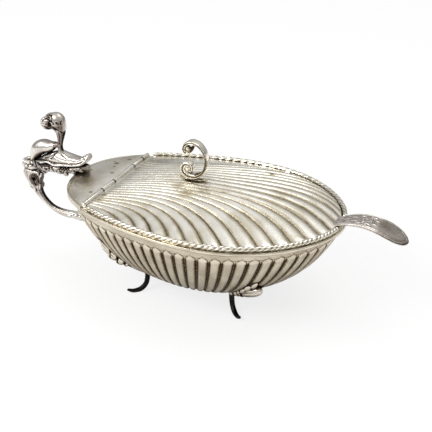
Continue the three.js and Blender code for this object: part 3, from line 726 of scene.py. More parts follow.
def place_rope(side, lump):
    start = math.asin(ROPE_HALF_OPENING / BEAM)
    end = outline_angle_at(LID_BACK + 1.5, ROPE_RADIUS)
    centre_height = GAP + ROPE_RADIUS

    def place(u, v):
        angle = side * (start + (end - start) * u)
        turn = v * 2 * math.pi
        uneven = sum(size * np.sin(u * rate + start) for rate, start, size in ROPE_UNEVEN)
        twist = (u * ROPE_LENGTH / lump * 2 * math.pi + uneven) * side / ROPE_STRANDS
        strand = np.abs(np.cos(0.5 * ROPE_STRANDS * (turn - twist)))
        from_end = np.clip(np.minimum(u, 1 - u) * ROPE_TAPER, 0, 1)
        end_round = np.sqrt(np.clip(1 - (1 - from_end) ** 2, 0, 1))
        worn = 1 - ROPE_WEAR * np.abs(uneven)
        lumpy = ROPE_VALLEY + (1 - ROPE_VALLEY) * strand ** 0.6
        radius = ROPE_RADIUS * worn * lumpy * (0.3 + 0.7 * end_round)
        inset = ROPE_RADIUS - radius * np.cos(turn)
        x, y = outline(angle, inset)
        height = centre_height + radius * np.sin(turn)
        # Valleys between the strands are dark with tarnish and painted shade, the shade stronger on
        # the rope's outer side; the rest is wear
        outer_side_shade = ease(np.cos(turn - 0.2 * side), -0.2, 0.9)
        dark = np.clip(1.0 - 1.8 * strand, 0, 1) * (0.30 + 0.55 * outer_side_shade)
        return np.stack((x, y, height), axis=1), 0.08 + dark + 0.10 * np.abs(uneven)

    return place


def make_rope(name, side, lump):
    rope = shaped_sheet(name, 520, 18, place_rope(side, lump))
    weld(rope, 0.01)
    close_ends(rope)
    shade(rope, 70.0)
    return rope


# Strip round the bowl's rim

STRIP_SECTION = (
    (1.35, -0.6), (0.35, -0.62), (0.06, -0.85), (0.0, -1.3), (0.0, -2.1), (0.06, -2.5),
    (0.35, -2.75), (1.35, -2.8), (1.35, -0.6),
)


def place_strip(u, v):
    end = outline_angle_at(HINGE_X + GAP, 0.0)
    angle = -end + 2 * end * u
    corner = np.rint(v * (len(STRIP_SECTION) - 1)).astype(int)
    section = np.array(STRIP_SECTION)[corner]
    x, y = outline(angle, section[:, 0])
    # The strip's lower side is painted darker, as shade under it
    return np.stack((x, y, section[:, 1]), axis=1), 0.5 * (corner > 4)


def make_strip():
    strip = shaped_sheet("dressed_rim_strip", 220, len(STRIP_SECTION) - 1, place_strip)
    weld(strip, 0.01)
    close_ends(strip)
    shade(strip, 45.0)
    return strip


# Section of a swept rod: squared up a little, with a thread line cut into it at each angle

def soften(value, power):
    return np.sign(value) * np.abs(value) ** power


def threaded_section(squareness, line_angles, line_width, line_depth):
    def section(angle, along):
        across = soften(np.cos(angle), squareness)
        thick = soften(np.sin(angle), squareness)
        depth = np.zeros_like(angle)
        for line in line_angles:
            apart = np.abs((angle - line + math.pi) % (2 * math.pi) - math.pi)
            depth = np.maximum(depth, line_depth * np.exp(-(apart / line_width) ** 2))
        return across * (1 - depth), thick * (1 - depth)

    return section


# Small shapes laid on a casting: balls, drawn out to a size and turned in the upright plane

def add_ball(place, size, tilt=0.0, segments=20):
    deselect_everything()
    bpy.ops.mesh.primitive_uv_sphere_add(segments=segments, ring_count=segments // 2, radius=1.0)
    ball = bpy.context.object
    points = points_of(ball) * np.array(size)
    x = points[:, 0] * math.cos(tilt) - points[:, 2] * math.sin(tilt)
    z = points[:, 0] * math.sin(tilt) + points[:, 2] * math.cos(tilt)
    set_on_feet(ball, np.stack((x, points[:, 1], z), axis=1) + np.array(place))
    return ball


# Runs shapes together into one casting

def cast_together(name, voxel, *shapes):
    casting = join_pieces(name, *shapes)
    apply_modifier(casting, "REMESH", mode="VOXEL", voxel_size=voxel * MM)
    apply_modifier(casting, "SMOOTH", factor=0.5, iterations=3)
    return casting


# Darkens a casting's hollows with tarnish and painted shade, and smooths its shading

def finish_casting(casting, full_depth, spread, least=0.04):
    shade_and_tarnish_hollows(casting, full_depth, spread, least)
    shade(casting, 80.0)
    return casting


# Presses a dent into a casting, or raises a boss with a negative depth

def press(piece, place, radius, depth, way=(0.0, 1.0, 0.0), squash=(1.0, 1.0, 1.0)):
    points = points_of(piece)
    middle = (np.array(place) + RIM_MIDDLE) * MM
    away = np.linalg.norm((points - middle) / np.array(squash), axis=1) / (radius * MM)
    share = np.clip(1 - away ** 2, 0, 1) ** 2
    move_points(piece, points + share[:, None] * np.array(way) * depth * MM)


def both_sides(piece, place, radius, depth, squash=(1.0, 1.0, 1.0)):
    x, y, z = place
    press(piece, (x, -y, z), radius, depth, (0.0, 1.0, 0.0), squash)
    press(piece, (x, y, z), radius, depth, (0.0, -1.0, 0.0), squash)


# Cuts a line, given in the upright plane, into both sides of a casting, or raises it

def engrave(piece, line, width, depth):
    points = drawn_points(piece)
    normals = normals_of(piece)
    plane = points[:, (0, 2)]
    nearest = np.full(len(points), np.inf)
    for start, end in zip(line[:-1], line[1:]):
        way = np.subtract(end, start)
        share = np.clip((plane - start) @ way / (way @ way), 0, 1)
        away = np.linalg.norm(plane - start - share[:, None] * way, axis=1)
        nearest = np.minimum(nearest, away)
    cut = np.clip(1 - (nearest / width) ** 2, 0, 1) ** 2
    cut = cut * np.clip(np.abs(normals[:, 1]) * 1.8, 0, 1)
    set_on_feet(piece, points - normals * (cut * depth)[:, None])


def engrave_all(piece, lines):
    for line, width, depth in lines:
        engrave(piece, line, width, depth)


# Finial: a threaded scroll with a knob at each end, its leaf pad, and the nut below the lid

SCROLL = (
    (-7.6, 36.8, 2.6, 0.9), (-8.8, 34.4, 2.6, 1.1), (-10.6, 32.9, 2.8, 1.1),
    (-12.8, 33.4, 3.0, 1.2), (-13.5, 35.8, 3.2, 1.3), (-11.8, 38.8, 3.5, 1.4),
    (-7.8, 40.6, 3.5, 1.4), (-2.4, 39.2, 3.2, 1.2), (1.7, 34.1, 2.8, 1.1),
    (2.9, 27.6, 2.5, 1.0), (1.0, 20.6, 2.7, 1.2), (-4.2, 16.3, 3.0, 1.7),
    (-10.6, 16.0, 3.2, 2.2), (-14.3, 19.4, 3.2, 2.3), (-13.0, 23.6, 3.0, 2.1),
    (-9.2, 23.7, 2.8, 1.8), (-8.3, 20.8, 2.6, 1.5), (-10.2, 19.5, 2.5, 1.3),
)
SCROLL_KNOBS = (((-10.9, 0, 35.6), (2.1, 2.5, 2.2)), ((-11.0, 0, 20.4), (3.6, 2.4, 3.6)))
VOLUTES = ((-11.0, 20.4, 6.8), (-11.0, 35.4, 4.0))
SCROLL_MIDDLE = (-5.4, 29.2)
SCROLL_EDGE = 2.2


def make_finial():
    section = threaded_section(0.60, (0.0, math.pi), 0.22, 0.20)
    ribbon = swept_rod("scroll_ribbon", SCROLL, 40, 190, section)
    knobs = [add_ball(place, size) for place, size in SCROLL_KNOBS]
    scroll = join_pieces("scroll_finial", ribbon, *knobs)
    shade_and_tarnish_hollows(scroll, 0.22, 6)
    points = drawn_points(scroll)
    inward = np.array(SCROLL_MIDDLE) - points[:, (0, 2)]
    away = np.linalg.norm(inward, axis=1)
    facing = np.einsum("ij,ij->i", inward, normals_of(scroll)[:, (0, 2)]) / away
    # Painted shade on the scroll's inner side and where its end tucks in by the upper knob, and a
    # dark line along its edge threads
    painted_inner_shade = ease(facing, 0.25, 0.6) * ease(away, 4.0, 6.0)
    edge_line = ridge(np.abs(points[:, 1]), SCROLL_EDGE, 0.35)
    for x, z, radius in VOLUTES:
        beyond = ease(np.hypot(points[:, 0] - x, points[:, 2] - z), radius - 1, radius)
        painted_inner_shade = painted_inner_shade * beyond
        edge_line = edge_line * beyond
    painted_tuck_shadow = ease(points[:, 0], -9.0, -8.2) * (np.hypot(inward[:, 0], inward[:, 1]) < 9.0)
    painted_tuck_shadow = painted_tuck_shadow * ease(points[:, 2], 33.0, 33.6) * (points[:, 0] < -6.0)
    dark = 0.85 * painted_inner_shade + 0.40 * edge_line + 0.9 * painted_tuck_shadow
    paint_tarnish_and_shade(scroll, tarnish_and_shade_of(scroll) + dark)
    shade(scroll, 60.0)
    return scroll


LEAF_PAD = (
    (-20.0, 14.4, 0.3, 0.3), (-17.6, 13.8, 1.0, 0.6), (-14.0, 13.2, 1.6, 0.9),
    (-9.0, 13.0, 1.9, 1.1), (-4.6, 13.0, 1.9, 1.1), (-0.6, 13.3, 1.5, 0.9), (3.2, 14.2, 0.4, 0.4),
)


def leaf_section(angle, along):
    lobed = 1 - 0.30 * np.abs(np.sin(along * math.pi * 5))
    ribs = 1 - 0.35 * np.abs(np.sin(angle * 4))
    return np.cos(angle) * lobed, np.sin(angle) * ribs


def make_leaf_pad():
    pad = swept_rod("leaf_pad", LEAF_PAD, 48, 60, leaf_section)
    shade_and_tarnish_hollows(pad, 0.2, 8, 0.5)
    shade(pad, 60.0)
    return pad


# A turned piece: a cylinder with bevelled ends, and a hole bored through it

def turned_piece(name, place, radius, length, sides, turn=(0.0, 0.0, 0.0), bore=0.0, bevel=0.2):
    deselect_everything()
    bpy.ops.mesh.primitive_cylinder_add(
        vertices=sides, radius=radius * MM, depth=length * MM, location=place, rotation=turn)
    piece = bpy.context.object
    name_piece(piece, name)
    bpy.ops.object.transform_apply(location=True, rotation=True, scale=True)
    if bore:
        start_editing(piece, "DESELECT")
        stop_editing()
        for face in piece.data.polygons:
            face.select = len(face.vertices) > 4
        take(piece)
        bpy.ops.object.mode_set(mode="EDIT")
        bpy.ops.mesh.select_mode(type="FACE")
        bpy.ops.mesh.inset(thickness=(radius - bore) * MM, use_individual=True)
        bpy.ops.mesh.delete(type="FACE")
        bpy.ops.mesh.select_mode(type="VERT")
        bpy.ops.mesh.select_non_manifold(extend=False)
        bpy.ops.mesh.bridge_edge_loops()
        bpy.ops.mesh.select_all(action="SELECT")
        bpy.ops.mesh.normals_make_consistent(inside=False)
        stop_editing()
    apply_modifier(piece, "BEVEL", width=bevel * MM, segments=3, limit_method="ANGLE",
                   angle_limit=math.radians(50))
    shade(piece, 40.0)
    return piece


def middle_of(node):
    low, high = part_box(node)
    return tuple((low + high) / 2), tuple((high - low) / MM)


KNUCKLE_RADIUS = 1.7
KNUCKLE_BEVEL = 0.12
PIN_RADIUS = 0.8
PIN_PLAY = 0.08
PIN_DOME = 0.3
NUT_RADIUS = 3.2
NUT_BORE = 1.45
NUT_BEVEL = 0.35
ALONG_HINGE = (math.pi / 2, 0.0, 0.0)


def make_knuckle(node):
    place, size = middle_of(node)
    return turned_piece("tube_" + node, place, KNUCKLE_RADIUS, size[1], 40, ALONG_HINGE,
                        PIN_RADIUS + PIN_PLAY, KNUCKLE_BEVEL)


def make_pin():
    place, size = middle_of("hinge_pin")
    return turned_piece("domed_pin", place, PIN_RADIUS, size[1], 28, ALONG_HINGE, 0.0, PIN_DOME)


def make_nut():
    place, size = middle_of("finial_nut")
    return turned_piece("finial_hex_nut", place, NUT_RADIUS, size[2], 6, bore=NUT_BORE,
                        bevel=NUT_BEVEL)


# Handle: the hooked figure, whose body curls up from the bead collar to the foot of its neck

FIGURE_BODY = (
    (-141.4, 1.4, 2.6, 2.6), (-140.0, 4.6, 2.8, 2.8), (-137.6, 9.4, 4.4, 4.4),
    (-134.0, 14.0, 5.8, 5.5), (-129.2, 16.7, 5.9, 5.4), (-124.0, 17.6, 4.9, 4.4),
    (-119.6, 19.3, 3.3, 2.6), (-116.0, 20.2, 2.2, 1.6),
)
FIGURE_NECK = (
    (-113.4, 10.8, 6.4, 5.2), (-114.2, 13.4, 4.0, 3.4), (-114.7, 16.2, 2.4, 2.1),
    (-114.8, 19.6, 2.1, 1.8), (-114.2, 23.4, 2.4, 2.0), (-113.6, 27.4, 3.0, 2.8),
    (-113.5, 31.2, 3.9, 3.9), (-114.6, 35.0, 4.6, 5.2),
)
FIGURE_HOOD_EDGE = (
    (-117.2, 36.8, 4.9, 0.7), (-114.2, 36.0, 5.7, 0.8), (-111.6, 34.5, 4.8, 0.8),
    (-109.7, 32.8, 2.6, 0.7),
)
HEAD_SHAPES = (
    ((-115.9, 38.2), (7.1, 5.6, 7.1), 0.0), ((-124.3, 36.8), (6.4, 4.3, 4.3), 0.5),
    ((-123.2, 33.4), (5.2, 3.5, 2.4), 0.12), ((-120.9, 41.9), (4.4, 4.2, 2.3), 0.35),
    ((-112.0, 35.0), (2.9, 4.3, 4.9), 0.0),
)
HEAD_LINES = (
    (((-122.9, 42.9), (-120.1, 43.8), (-117.9, 43.2), (-117.0, 41.8), (-117.3, 40.2)), 1.0, 0.9),
    (((-126.8, 38.2), (-125.1, 39.7), (-123.0, 40.4), (-121.0, 40.3), (-118.8, 39.9)), 0.9, 0.8),
    (((-118.8, 39.9), (-116.3, 39.0), (-115.2, 38.0)), 1.0, 0.9),
    (((-126.4, 34.4), (-123.2, 33.4), (-120.7, 32.8), (-118.2, 34.2)), 0.8, 0.8),
    (((-126.4, 36.4), (-124.0, 36.0), (-122.4, 36.6)), 0.7, 0.5),
    (((-113.2, 39.6), (-113.0, 38.6)), 0.9, 0.9),
    (((-110.2, 40.2), (-110.3, 38.0)), 0.9, 1.0),
    (((-117.4, 35.2), (-114.2, 34.4), (-110.6, 31.4)), 0.8, 0.6),
    (((-116.9, 33.2), (-115.0, 28.6), (-114.9, 21.5)), 0.7, 0.4),
    (((-112.6, 31.6), (-112.8, 27.0), (-113.6, 21.5)), 0.8, 0.5),
)
HEAD_HOLLOWS = (
    ((-119.6, 4.8, 36.9), 2.5, 2.8, (1.15, 1.6, 0.95)),
    ((-115.6, 4.6, 34.6), 1.5, 1.5, (1.1, 1.6, 0.8)),
)
EYEBALL = ((-119.3, 3.2, 36.7), 0.9, -1.1, (1.2, 1.6, 0.9))
NECK_BACK_PAINTED_SHADE = 0.85
NECK_STAIN = 0.30
# Dark marks over the head's hollows and lines: tarnish with painted shade
HEAD_HOLLOW_MARKS = (
    (-119.9, 36.6, 2.2, 1.1), (-115.4, 34.4, 1.7, 0.9), (-122.6, 32.6, 2.0, 0.6),
    (-120.2, 42.9, 1.8, 0.7), (-110.2, 35.0, 2.2, 0.4), (-112.0, 38.4, 1.2, 0.5),
)
HEAD_STAIN = 0.06
BODY_UNDERSIDE_PAINTED_SHADE = 0.85
BODY_TOP_PAINTED_SHADE = 0.25


def make_figure():
    shapes = [
        swept_rod("figure_body", FIGURE_BODY, 36, 70),
        swept_rod("figure_neck", FIGURE_NECK, 36, 70),
        swept_rod("figure_hood_edge", FIGURE_HOOD_EDGE, 24, 30),
    ]
    for (x, z), size, tilt in HEAD_SHAPES:
        shapes.append(add_ball((x, 0, z), size, tilt, 32))
    figure = cast_together("hooked_figure", 0.32, *shapes)
    for hollow in HEAD_HOLLOWS:
        both_sides(figure, *hollow)
    engrave_all(figure, HEAD_LINES)
    both_sides(figure, *EYEBALL)
    shade_and_tarnish_hollows(figure, 0.30, 14)
    points = drawn_points(figure)
    normals = normals_of(figure)
    # Painted shade on the back of the neck and under and over the curled body; the marks on the
    # head's sides are tarnish and painted shade in its hollows
    neck = ease(points[:, 2], 14.0, 18.0) * (1 - ease(points[:, 2], 30.0, 33.0))
    painted_back_shade = neck * ease(normals[:, 0], 0.72, 0.95) * NECK_BACK_PAINTED_SHADE
    stained = neck * (points[:, 0] > -119.5) * NECK_STAIN
    body = (1 - ease(points[:, 2], 23.0, 26.0)) * (points[:, 0] < -117.5)
    below = body * ease(-normals[:, 2], 0.25, 0.75) * BODY_UNDERSIDE_PAINTED_SHADE
    above = body * ease(normals[:, 2], 0.75, 0.95) * BODY_TOP_PAINTED_SHADE
    on_sides = ease(np.abs(normals[:, 1]), 0.3, 0.7)
    marks = stains_at(points[:, 0], points[:, 2], HEAD_HOLLOW_MARKS) * on_sides
    head = HEAD_STAIN * ease(points[:, 2], 30.0, 33.0)
    dark = painted_back_shade + stained + below + above + marks + head
    paint_tarnish_and_shade(figure, 1.3 * tarnish_and_shade_of(figure) + dark)
    shade(figure, 80.0)
    return figure


# Wing: a boat with a beaded brim, and a hump that rises to the foot of the neck

WING_BRIM = (
    (-139.0, 3.0, 1.4, 0.9), (-134.8, 5.0, 4.2, 1.1), (-129.0, 6.9, 6.6, 1.2),
    (-122.8, 8.1, 8.4, 1.2), (-116.4, 7.3, 9.2, 1.2), (-110.2, 8.1, 9.2, 1.2),
    (-103.8, 8.9, 8.8, 1.2), (-98.0, 9.4, 7.8, 1.3), (-94.0, 10.8, 6.2, 1.5),
    (-91.4, 13.6, 4.4, 1.8), (-90.6, 16.9, 2.4, 1.4),
)
WING_HUMP = (
    (-134.0, 5.8, 2.4, 1.2), (-127.0, 8.0, 4.4, 3.3), (-120.4, 8.6, 6.0, 5.6),
    (-114.6, 8.8, 6.6, 7.2), (-110.0, 9.2, 6.6, 6.0), (-104.2, 9.8, 6.4, 3.9),
    (-98.4, 10.4, 5.6, 2.8), (-94.4, 12.2, 4.4, 2.7), (-91.6, 14.4, 2.8, 2.6),
)
WING_LINES = (
    (((-112.0, 14.6), (-106.0, 12.2), (-99.0, 11.8), (-93.6, 14.2)), 0.8, 0.45),
    (((-127.0, 9.4), (-121.0, 12.0), (-117.0, 14.6)), 0.8, 0.55),
    (((-120.6, 10.6), (-118.4, 13.0), (-117.2, 15.2)), 1.1, 0.9),
    (((-116.0, 12.6), (-110.0, 11.4), (-104.0, 11.0)), 0.7, 0.35),
)


def brim_section(angle, along):
    across = np.cos(angle)
    edge_bead = ridge(np.abs(across), 0.94, 0.07)
    groove = ridge(np.abs(across), 0.80, 0.06)
    wave = 1 + 0.035 * np.sin(along * 34)
    thick = soften(np.sin(angle), 0.6) * (0.75 - 0.35 * groove) + 0.55 * edge_bead * np.sin(angle)
    return across * wave, thick


def make_wing():
    brim = swept_rod("wing_brim", WING_BRIM, 96, 130, brim_section)
    hump = swept_rod("wing_hump", WING_HUMP, 40, 90)
    wing = cast_together("leaf_wing", 0.32, brim, hump)
    engrave_all(wing, WING_LINES)
    return finish_casting(wing, 0.26, 14, 0.10)


# Shellwork under the wing: a rod with fans of ribs, curls, a net and beads run into it

BRACKET = (
    (-136.8, -1.8, 2.6, 2.6), (-131.0, -0.6, 3.6, 3.2), (-125.0, 1.2, 5.0, 3.3),
    (-117.0, 2.4, 6.2, 3.4), (-109.0, 3.0, 6.6, 3.9), (-102.0, 4.3, 6.2, 3.5),
    (-96.0, 5.8, 4.8, 2.8), (-91.5, 6.8, 2.4, 1.7),
)
FAN_RIBS = 5
FAN_SPREAD = 0.42
FAN_RIB_SIZE = (0.75, 0.95, 0.42)
FANS = (
    (-127.6, 4.9, 1.4, 2.1), (-120.6, 5.6, 2.3, 2.2), (-113.8, 6.0, 2.2, 2.4),
    (-108.0, 6.1, 2.0, 2.7), (-101.4, 5.6, 3.9, 2.2), (-95.6, 4.4, 5.4, 1.8),
)
NET_COLUMNS = 4
NET_ROWS = 3
NET_START = (-113.0, 6.5, 6.6)
NET_STEP = (2.3, 0.5, 1.7)
NET_LUMP = (0.72, 0.9, 0.56)
SHELLWORK_BEADS = 40
SHELLWORK_SEED = 11
# The whole shellwork, under the wing, is painted darker, as shade
SHELLWORK_PAINTED_SHADE = 0.24
LEAF_SPIKES = (
    ((-136.2, 4.4, 3.4), (3.0, 0.8, 0.8), -1.32), ((-133.0, 4.8, 2.6), (2.6, 0.8, 0.8), -1.25),
    ((-130.4, 5.0, 1.4), (2.2, 0.7, 0.7), -0.9), ((-124.6, 5.6, 2.6), (2.4, 0.9, 0.7), 0.2),
)


def make_shellwork():
    shapes = [swept_rod("shellwork_core", BRACKET, 24, 50)]
    for side in (-1, 1):
        for x, y, z, long in FANS:
            for rib in range(FAN_RIBS):
                tilt = math.pi / 2 + (rib - (FAN_RIBS - 1) / 2) * FAN_SPREAD
                down_x = long * 0.6 * math.cos(tilt)
                down_z = long * 0.6 * math.sin(tilt)
                half_long, wide, thick = FAN_RIB_SIZE
                place = (x - down_x, side * y, z - down_z)
                shapes.append(add_ball(place, (long * half_long, wide, thick), tilt, 12))
            shapes.append(add_ball((x, side * (y + 0.5), z + 0.5), (0.9, 0.8, 0.8), 0.0, 12))
        for column in range(NET_COLUMNS):
            for row in range(NET_ROWS):
                net_x = NET_START[0] + column * NET_STEP[0] + row * NET_STEP[1]
                place = (net_x, side * NET_START[1], NET_START[2] - row * NET_STEP[2])
                shapes.append(add_ball(place, NET_LUMP, 0.6, 10))
        for (x, y, z), size, tilt in LEAF_SPIKES:
            shapes.append(add_ball((x, side * y, z), size, tilt, 12))
    chance = np.random.default_rng(SHELLWORK_SEED)
    for _ in range(SHELLWORK_BEADS):
        along = chance.uniform(0.06, 0.9, 1)
        out, up, across, thick = curve_through(BRACKET, along)[0]
        turn = chance.uniform(-2.4, -0.2)
        size = chance.uniform(0.6, 1.1)
        side = 1 if chance.random() < 0.5 else -1
        place = (out, side * across * abs(math.cos(turn)), up + thick * math.sin(turn))
        long = size * chance.uniform(1.2, 2.2)
        shapes.append(add_ball(place, (long, size, size), chance.uniform(-1.0, 1.0), 10))
    shellwork = cast_together("handle_shellwork", 0.3, *shapes)
    return finish_casting(shellwork, 0.14, 14, SHELLWORK_PAINTED_SHADE)


# Ring of beads

BEAD_COUNT = 10
BEAD_RING = 4.6
BEAD_SIZE = (1.7, 1.7, 1.4)
BEAD_ROWS = ((0, 0.0), (1, -2.6))
COLLAR_PLACE = (-142.8, 0.0, 3.0)
COLLAR_RING = 3.4
COLLAR_THICK = 1.4


def make_bead_collar():
    deselect_everything()
    bpy.ops.mesh.primitive_torus_add(
        major_radius=COLLAR_RING, minor_radius=COLLAR_THICK, major_segments=48,
        minor_segments=16)
    core = bpy.context.object
    set_on_feet(core, points_of(core) + np.array(COLLAR_PLACE))
    shapes = [core]
    for row, drop in BEAD_ROWS:
        ring = BEAD_RING + 0.3 * row
        for index in range(BEAD_COUNT):
            turn = (index + 0.5 * row) / BEAD_COUNT * 2 * math.pi
            place = (
                COLLAR_PLACE[0] + ring * math.cos(turn), ring * math.sin(turn),
                COLLAR_PLACE[2] + drop,
            )
            shapes.append(add_ball(place, BEAD_SIZE, 0.0, 16))
    return finish_casting(cast_together("bead_collar", 0.24, *shapes), 0.25, 10)


# Leaf cup: a tulip of leaves round the top of the strap, with a hollow panel on each side

CUP = (
    (-142.6, 1.2, 4.6, 4.4), (-141.8, -1.6, 6.0, 6.6), (-140.4, -5.2, 6.5, 8.0),
    (-139.8, -9.0, 6.1, 7.1), (-139.6, -12.8, 5.2, 5.8), (-139.1, -16.2, 4.2, 4.9),
    (-138.4, -19.4, 3.2, 3.9),
)
CUP_LINES = (
    (((-138.9, -9.6), (-137.7, -12.6), (-136.9, -15.2)), 1.0, 1.2),
    (((-135.8, -4.6), (-134.6, -8.0), (-135.2, -12.6)), 0.9, 0.8),
    (((-137.2, -5.4), (-136.9, -8.6), (-136.6, -11.6)), 0.8, -0.8),
    (((-146.4, -4.6), (-145.3, -10.6), (-142.4, -16.4)), 1.1, -0.7),
    (((-143.4, -4.4), (-143.0, -9.6), (-140.8, -14.6)), 0.8, 0.7),
    (((-145.0, -1.6), (-139.0, -2.2), (-134.8, -1.6)), 0.8, 0.7),
)
CUP_LEAF_TIPS = (
    ((-143.0, 2.6, -17.4), (3.0, 0.9, 1.1), -1.1), ((-138.6, 3.9, -18.6), (2.6, 0.9, 1.1), -1.5),
    ((-135.0, 2.4, -17.0), (2.6, 0.9, 0.9), -1.8), ((-135.8, 5.5, -3.4), (3.6, 1.1, 1.1), -0.05),
    ((-132.0, 3.8, -6.0), (2.4, 1.0, 0.9), 1.1),
)
# The panel hollows hold tarnish and painted shade; the face towards the bowl is painted shade
CUP_PANEL_DARK = 0.42
CUP_INNER_PAINTED_SHADE = 0.42
CUP_PANEL = (-137.8, -10.4, 4.0, 6.2)
CUP_PRESSED = ((-137.6, 6.2, -9.8), 5.0, 2.4, (0.80, 1.4, 1.2))


def make_leaf_cup():
    shapes = [swept_rod("cup_body", CUP, 48, 50)]
    for side in (-1, 1):
        for (x, y, z), size, tilt in CUP_LEAF_TIPS:
            shapes.append(add_ball((x, side * y, z), size, tilt, 16))
    cup = cast_together("acanthus_cup", 0.3, *shapes)
    both_sides(cup, *CUP_PRESSED)
    engrave_all(cup, CUP_LINES)
    shade_and_tarnish_hollows(cup, 0.34, 14, 0.12)
    points = drawn_points(cup)
    x, z, wide, high = CUP_PANEL
    hollow = np.hypot((points[:, 0] - x) / wide, (points[:, 2] - z) / high)
    # Painted shade on the face towards the bowl, and tarnish with painted shade in the panel
    shaded_inner_face = ease(normals_of(cup)[:, 0], 0.7, 0.95) * ease(-points[:, 2], 3.0, 6.0)
    panel = CUP_PANEL_DARK * (1 - ease(hollow, 0.7, 1.1))
    paint_tarnish_and_shade(cup, tarnish_and_shade_of(cup) + panel + CUP_INNER_PAINTED_SHADE * shaded_inner_face)
    shade(cup, 80.0)
    return cup


# Strap of the handle, from the cup down to the bowl, with painted shade along its inner edge

STRAP = (
    (-140.0, -12.0, 3.4, 4.2), (-139.3, -16.0, 3.3, 4.2), (-138.2, -19.6, 3.1, 3.7),
    (-136.4, -23.4, 2.8, 2.8), (-132.8, -28.0, 2.6, 2.1), (-127.2, -32.4, 2.5, 1.8),
    (-121.2, -34.9, 2.7, 2.2), (-115.0, -35.9, 2.9, 2.6), (-108.0, -35.8, 3.2, 2.7),
    (-101.6, -36.1, 3.5, 2.8), (-90.0, -36.0, 3.8, 3.0), (-79.2, -36.0, 3.8, 2.6),
)
STRAP_CURLS = (
    ((-104.6, -34.4), (2.4, 1.1, 1.3), 0.3), ((-98.6, -34.8), (1.8, 1.2, 1.5), 0.0),
    ((-110.4, -35.4), (2.6, 0.8, 0.9), 0.1), ((-84.0, -33.2), (2.6, 1.5, 1.4), 0.2),
)
STRAP_CURL_SIDE = 3.2
STRAP_SEAT = ((-80.6, 0, -34.6), (1.6, 4.4, 3.2), 0.3)
STRAP_LOOP_MIDDLE = (-116.0, -14.0)
STRAP_STAIN = 0.26
STRAP_LINES = (0.75, -0.75, math.pi - 0.75, math.pi + 0.75)


def make_strap(bowl_space):
    section = threaded_section(0.8, STRAP_LINES, 0.13, 0.10)
    strap = swept_rod("threaded_strap", STRAP, 56, 120, section)
    curls = [
        add_ball((x, side * STRAP_CURL_SIDE, z), size, tilt)
        for side in (-1, 1) for (x, z), size, tilt in STRAP_CURLS
    ]
    seat = add_ball(*STRAP_SEAT)
    last_curl = len(STRAP_CURLS) - 1
    for part in (strap, curls[last_curl], curls[-1], seat):
        trim_by_bowl(part, bowl_space)
    strap = join_pieces("handle_strap", strap, *curls, seat)
    shade_and_tarnish_hollows(strap, 0.16, 5)
    points = drawn_points(strap)
    inner = np.array(STRAP_LOOP_MIDDLE) - points[:, (0, 2)]
    inner = inner / np.linalg.norm(inner, axis=1)[:, None]
    facing = np.einsum("ij,ij->i", inner, normals_of(strap)[:, (0, 2)])
    # Painted shade along the inner edge of the loop
    painted_inner_edge_shade = 0.8 * ease(facing, 0.90, 0.99) * (1 - ease(points[:, 0], -126.0, -112.0))
    stained = STRAP_STAIN * (1 - 0.75 * ease(-points[:, 2], 20.0, 27.0))
    paint_tarnish_and_shade(strap, tarnish_and_shade_of(strap) + painted_inner_edge_shade + stained)
    shade(strap, 60.0)
    return strap


# Spoon: threads along its edges, a spray of flowers across its handle, and its scoop

SPOON_HANDLE = (
    (37.0, -40.6, 5.6, 0.8), (43.0, -37.2, 4.2, 1.1), (50.0, -31.8, 3.0, 1.4),
    (60.0, -23.8, 2.6, 1.5), (73.0, -14.0, 2.8, 1.4), (84.0, -6.0, 3.2, 1.2),
    (90.0, -2.2, 4.2, 1.1), (96.0, 1.6, 6.0, 1.1), (101.0, 3.8, 7.3, 1.1),
    (108.0, 5.7, 8.6, 1.1), (116.0, 6.2, 9.7, 1.1), (124.6, 4.8, 10.5, 1.1),
    (131.5, 2.4, 10.7, 1.1), (136.8, 0.0, 9.6, 1.0), (140.6, -2.0, 7.0, 1.0),
    (142.7, -3.2, 3.6, 0.9), (143.3, -3.6, 1.0, 0.7),
)
FLOWER_PLACES = (
    (118.4, 0.2, 2.7), (116.8, -5.0, 2.4), (119.4, 5.4, 2.4), (112.8, 1.4, 1.9), (113.6, -3.2, 1.4),
)
LEAF_PLACES = (
    (107.6, -2.4, 2.8, 1.1), (107.0, 2.6, 2.8, 1.1), (102.8, 0.2, 3.2, 1.2),
    (110.4, -4.8, 2.2, 0.9), (112.4, 5.0, 2.2, 0.9), (121.6, -2.6, 2.0, 0.8),
    (122.4, 2.8, 2.0, 0.8), (98.6, -2.0, 2.2, 0.8), (98.4, 2.0, 2.2, 0.8),
    (103.6, -3.2, 1.8, 0.8), (104.0, 3.4, 1.8, 0.8), (115.0, 1.8, 1.4, 0.7),
)
SCOOP_LENGTH = 23.0
SCOOP_WIDTH = 14.5
SCOOP_DEPTH = 6.5
SCOOP_SHEET = 1.2
SCOOP_TILT = 0.36
SCOOP_PLACE = (21.0, 0.0, -46.2)
THREAD_EDGES = (1.0, 2.3)
THREAD_WIDTH = 0.42


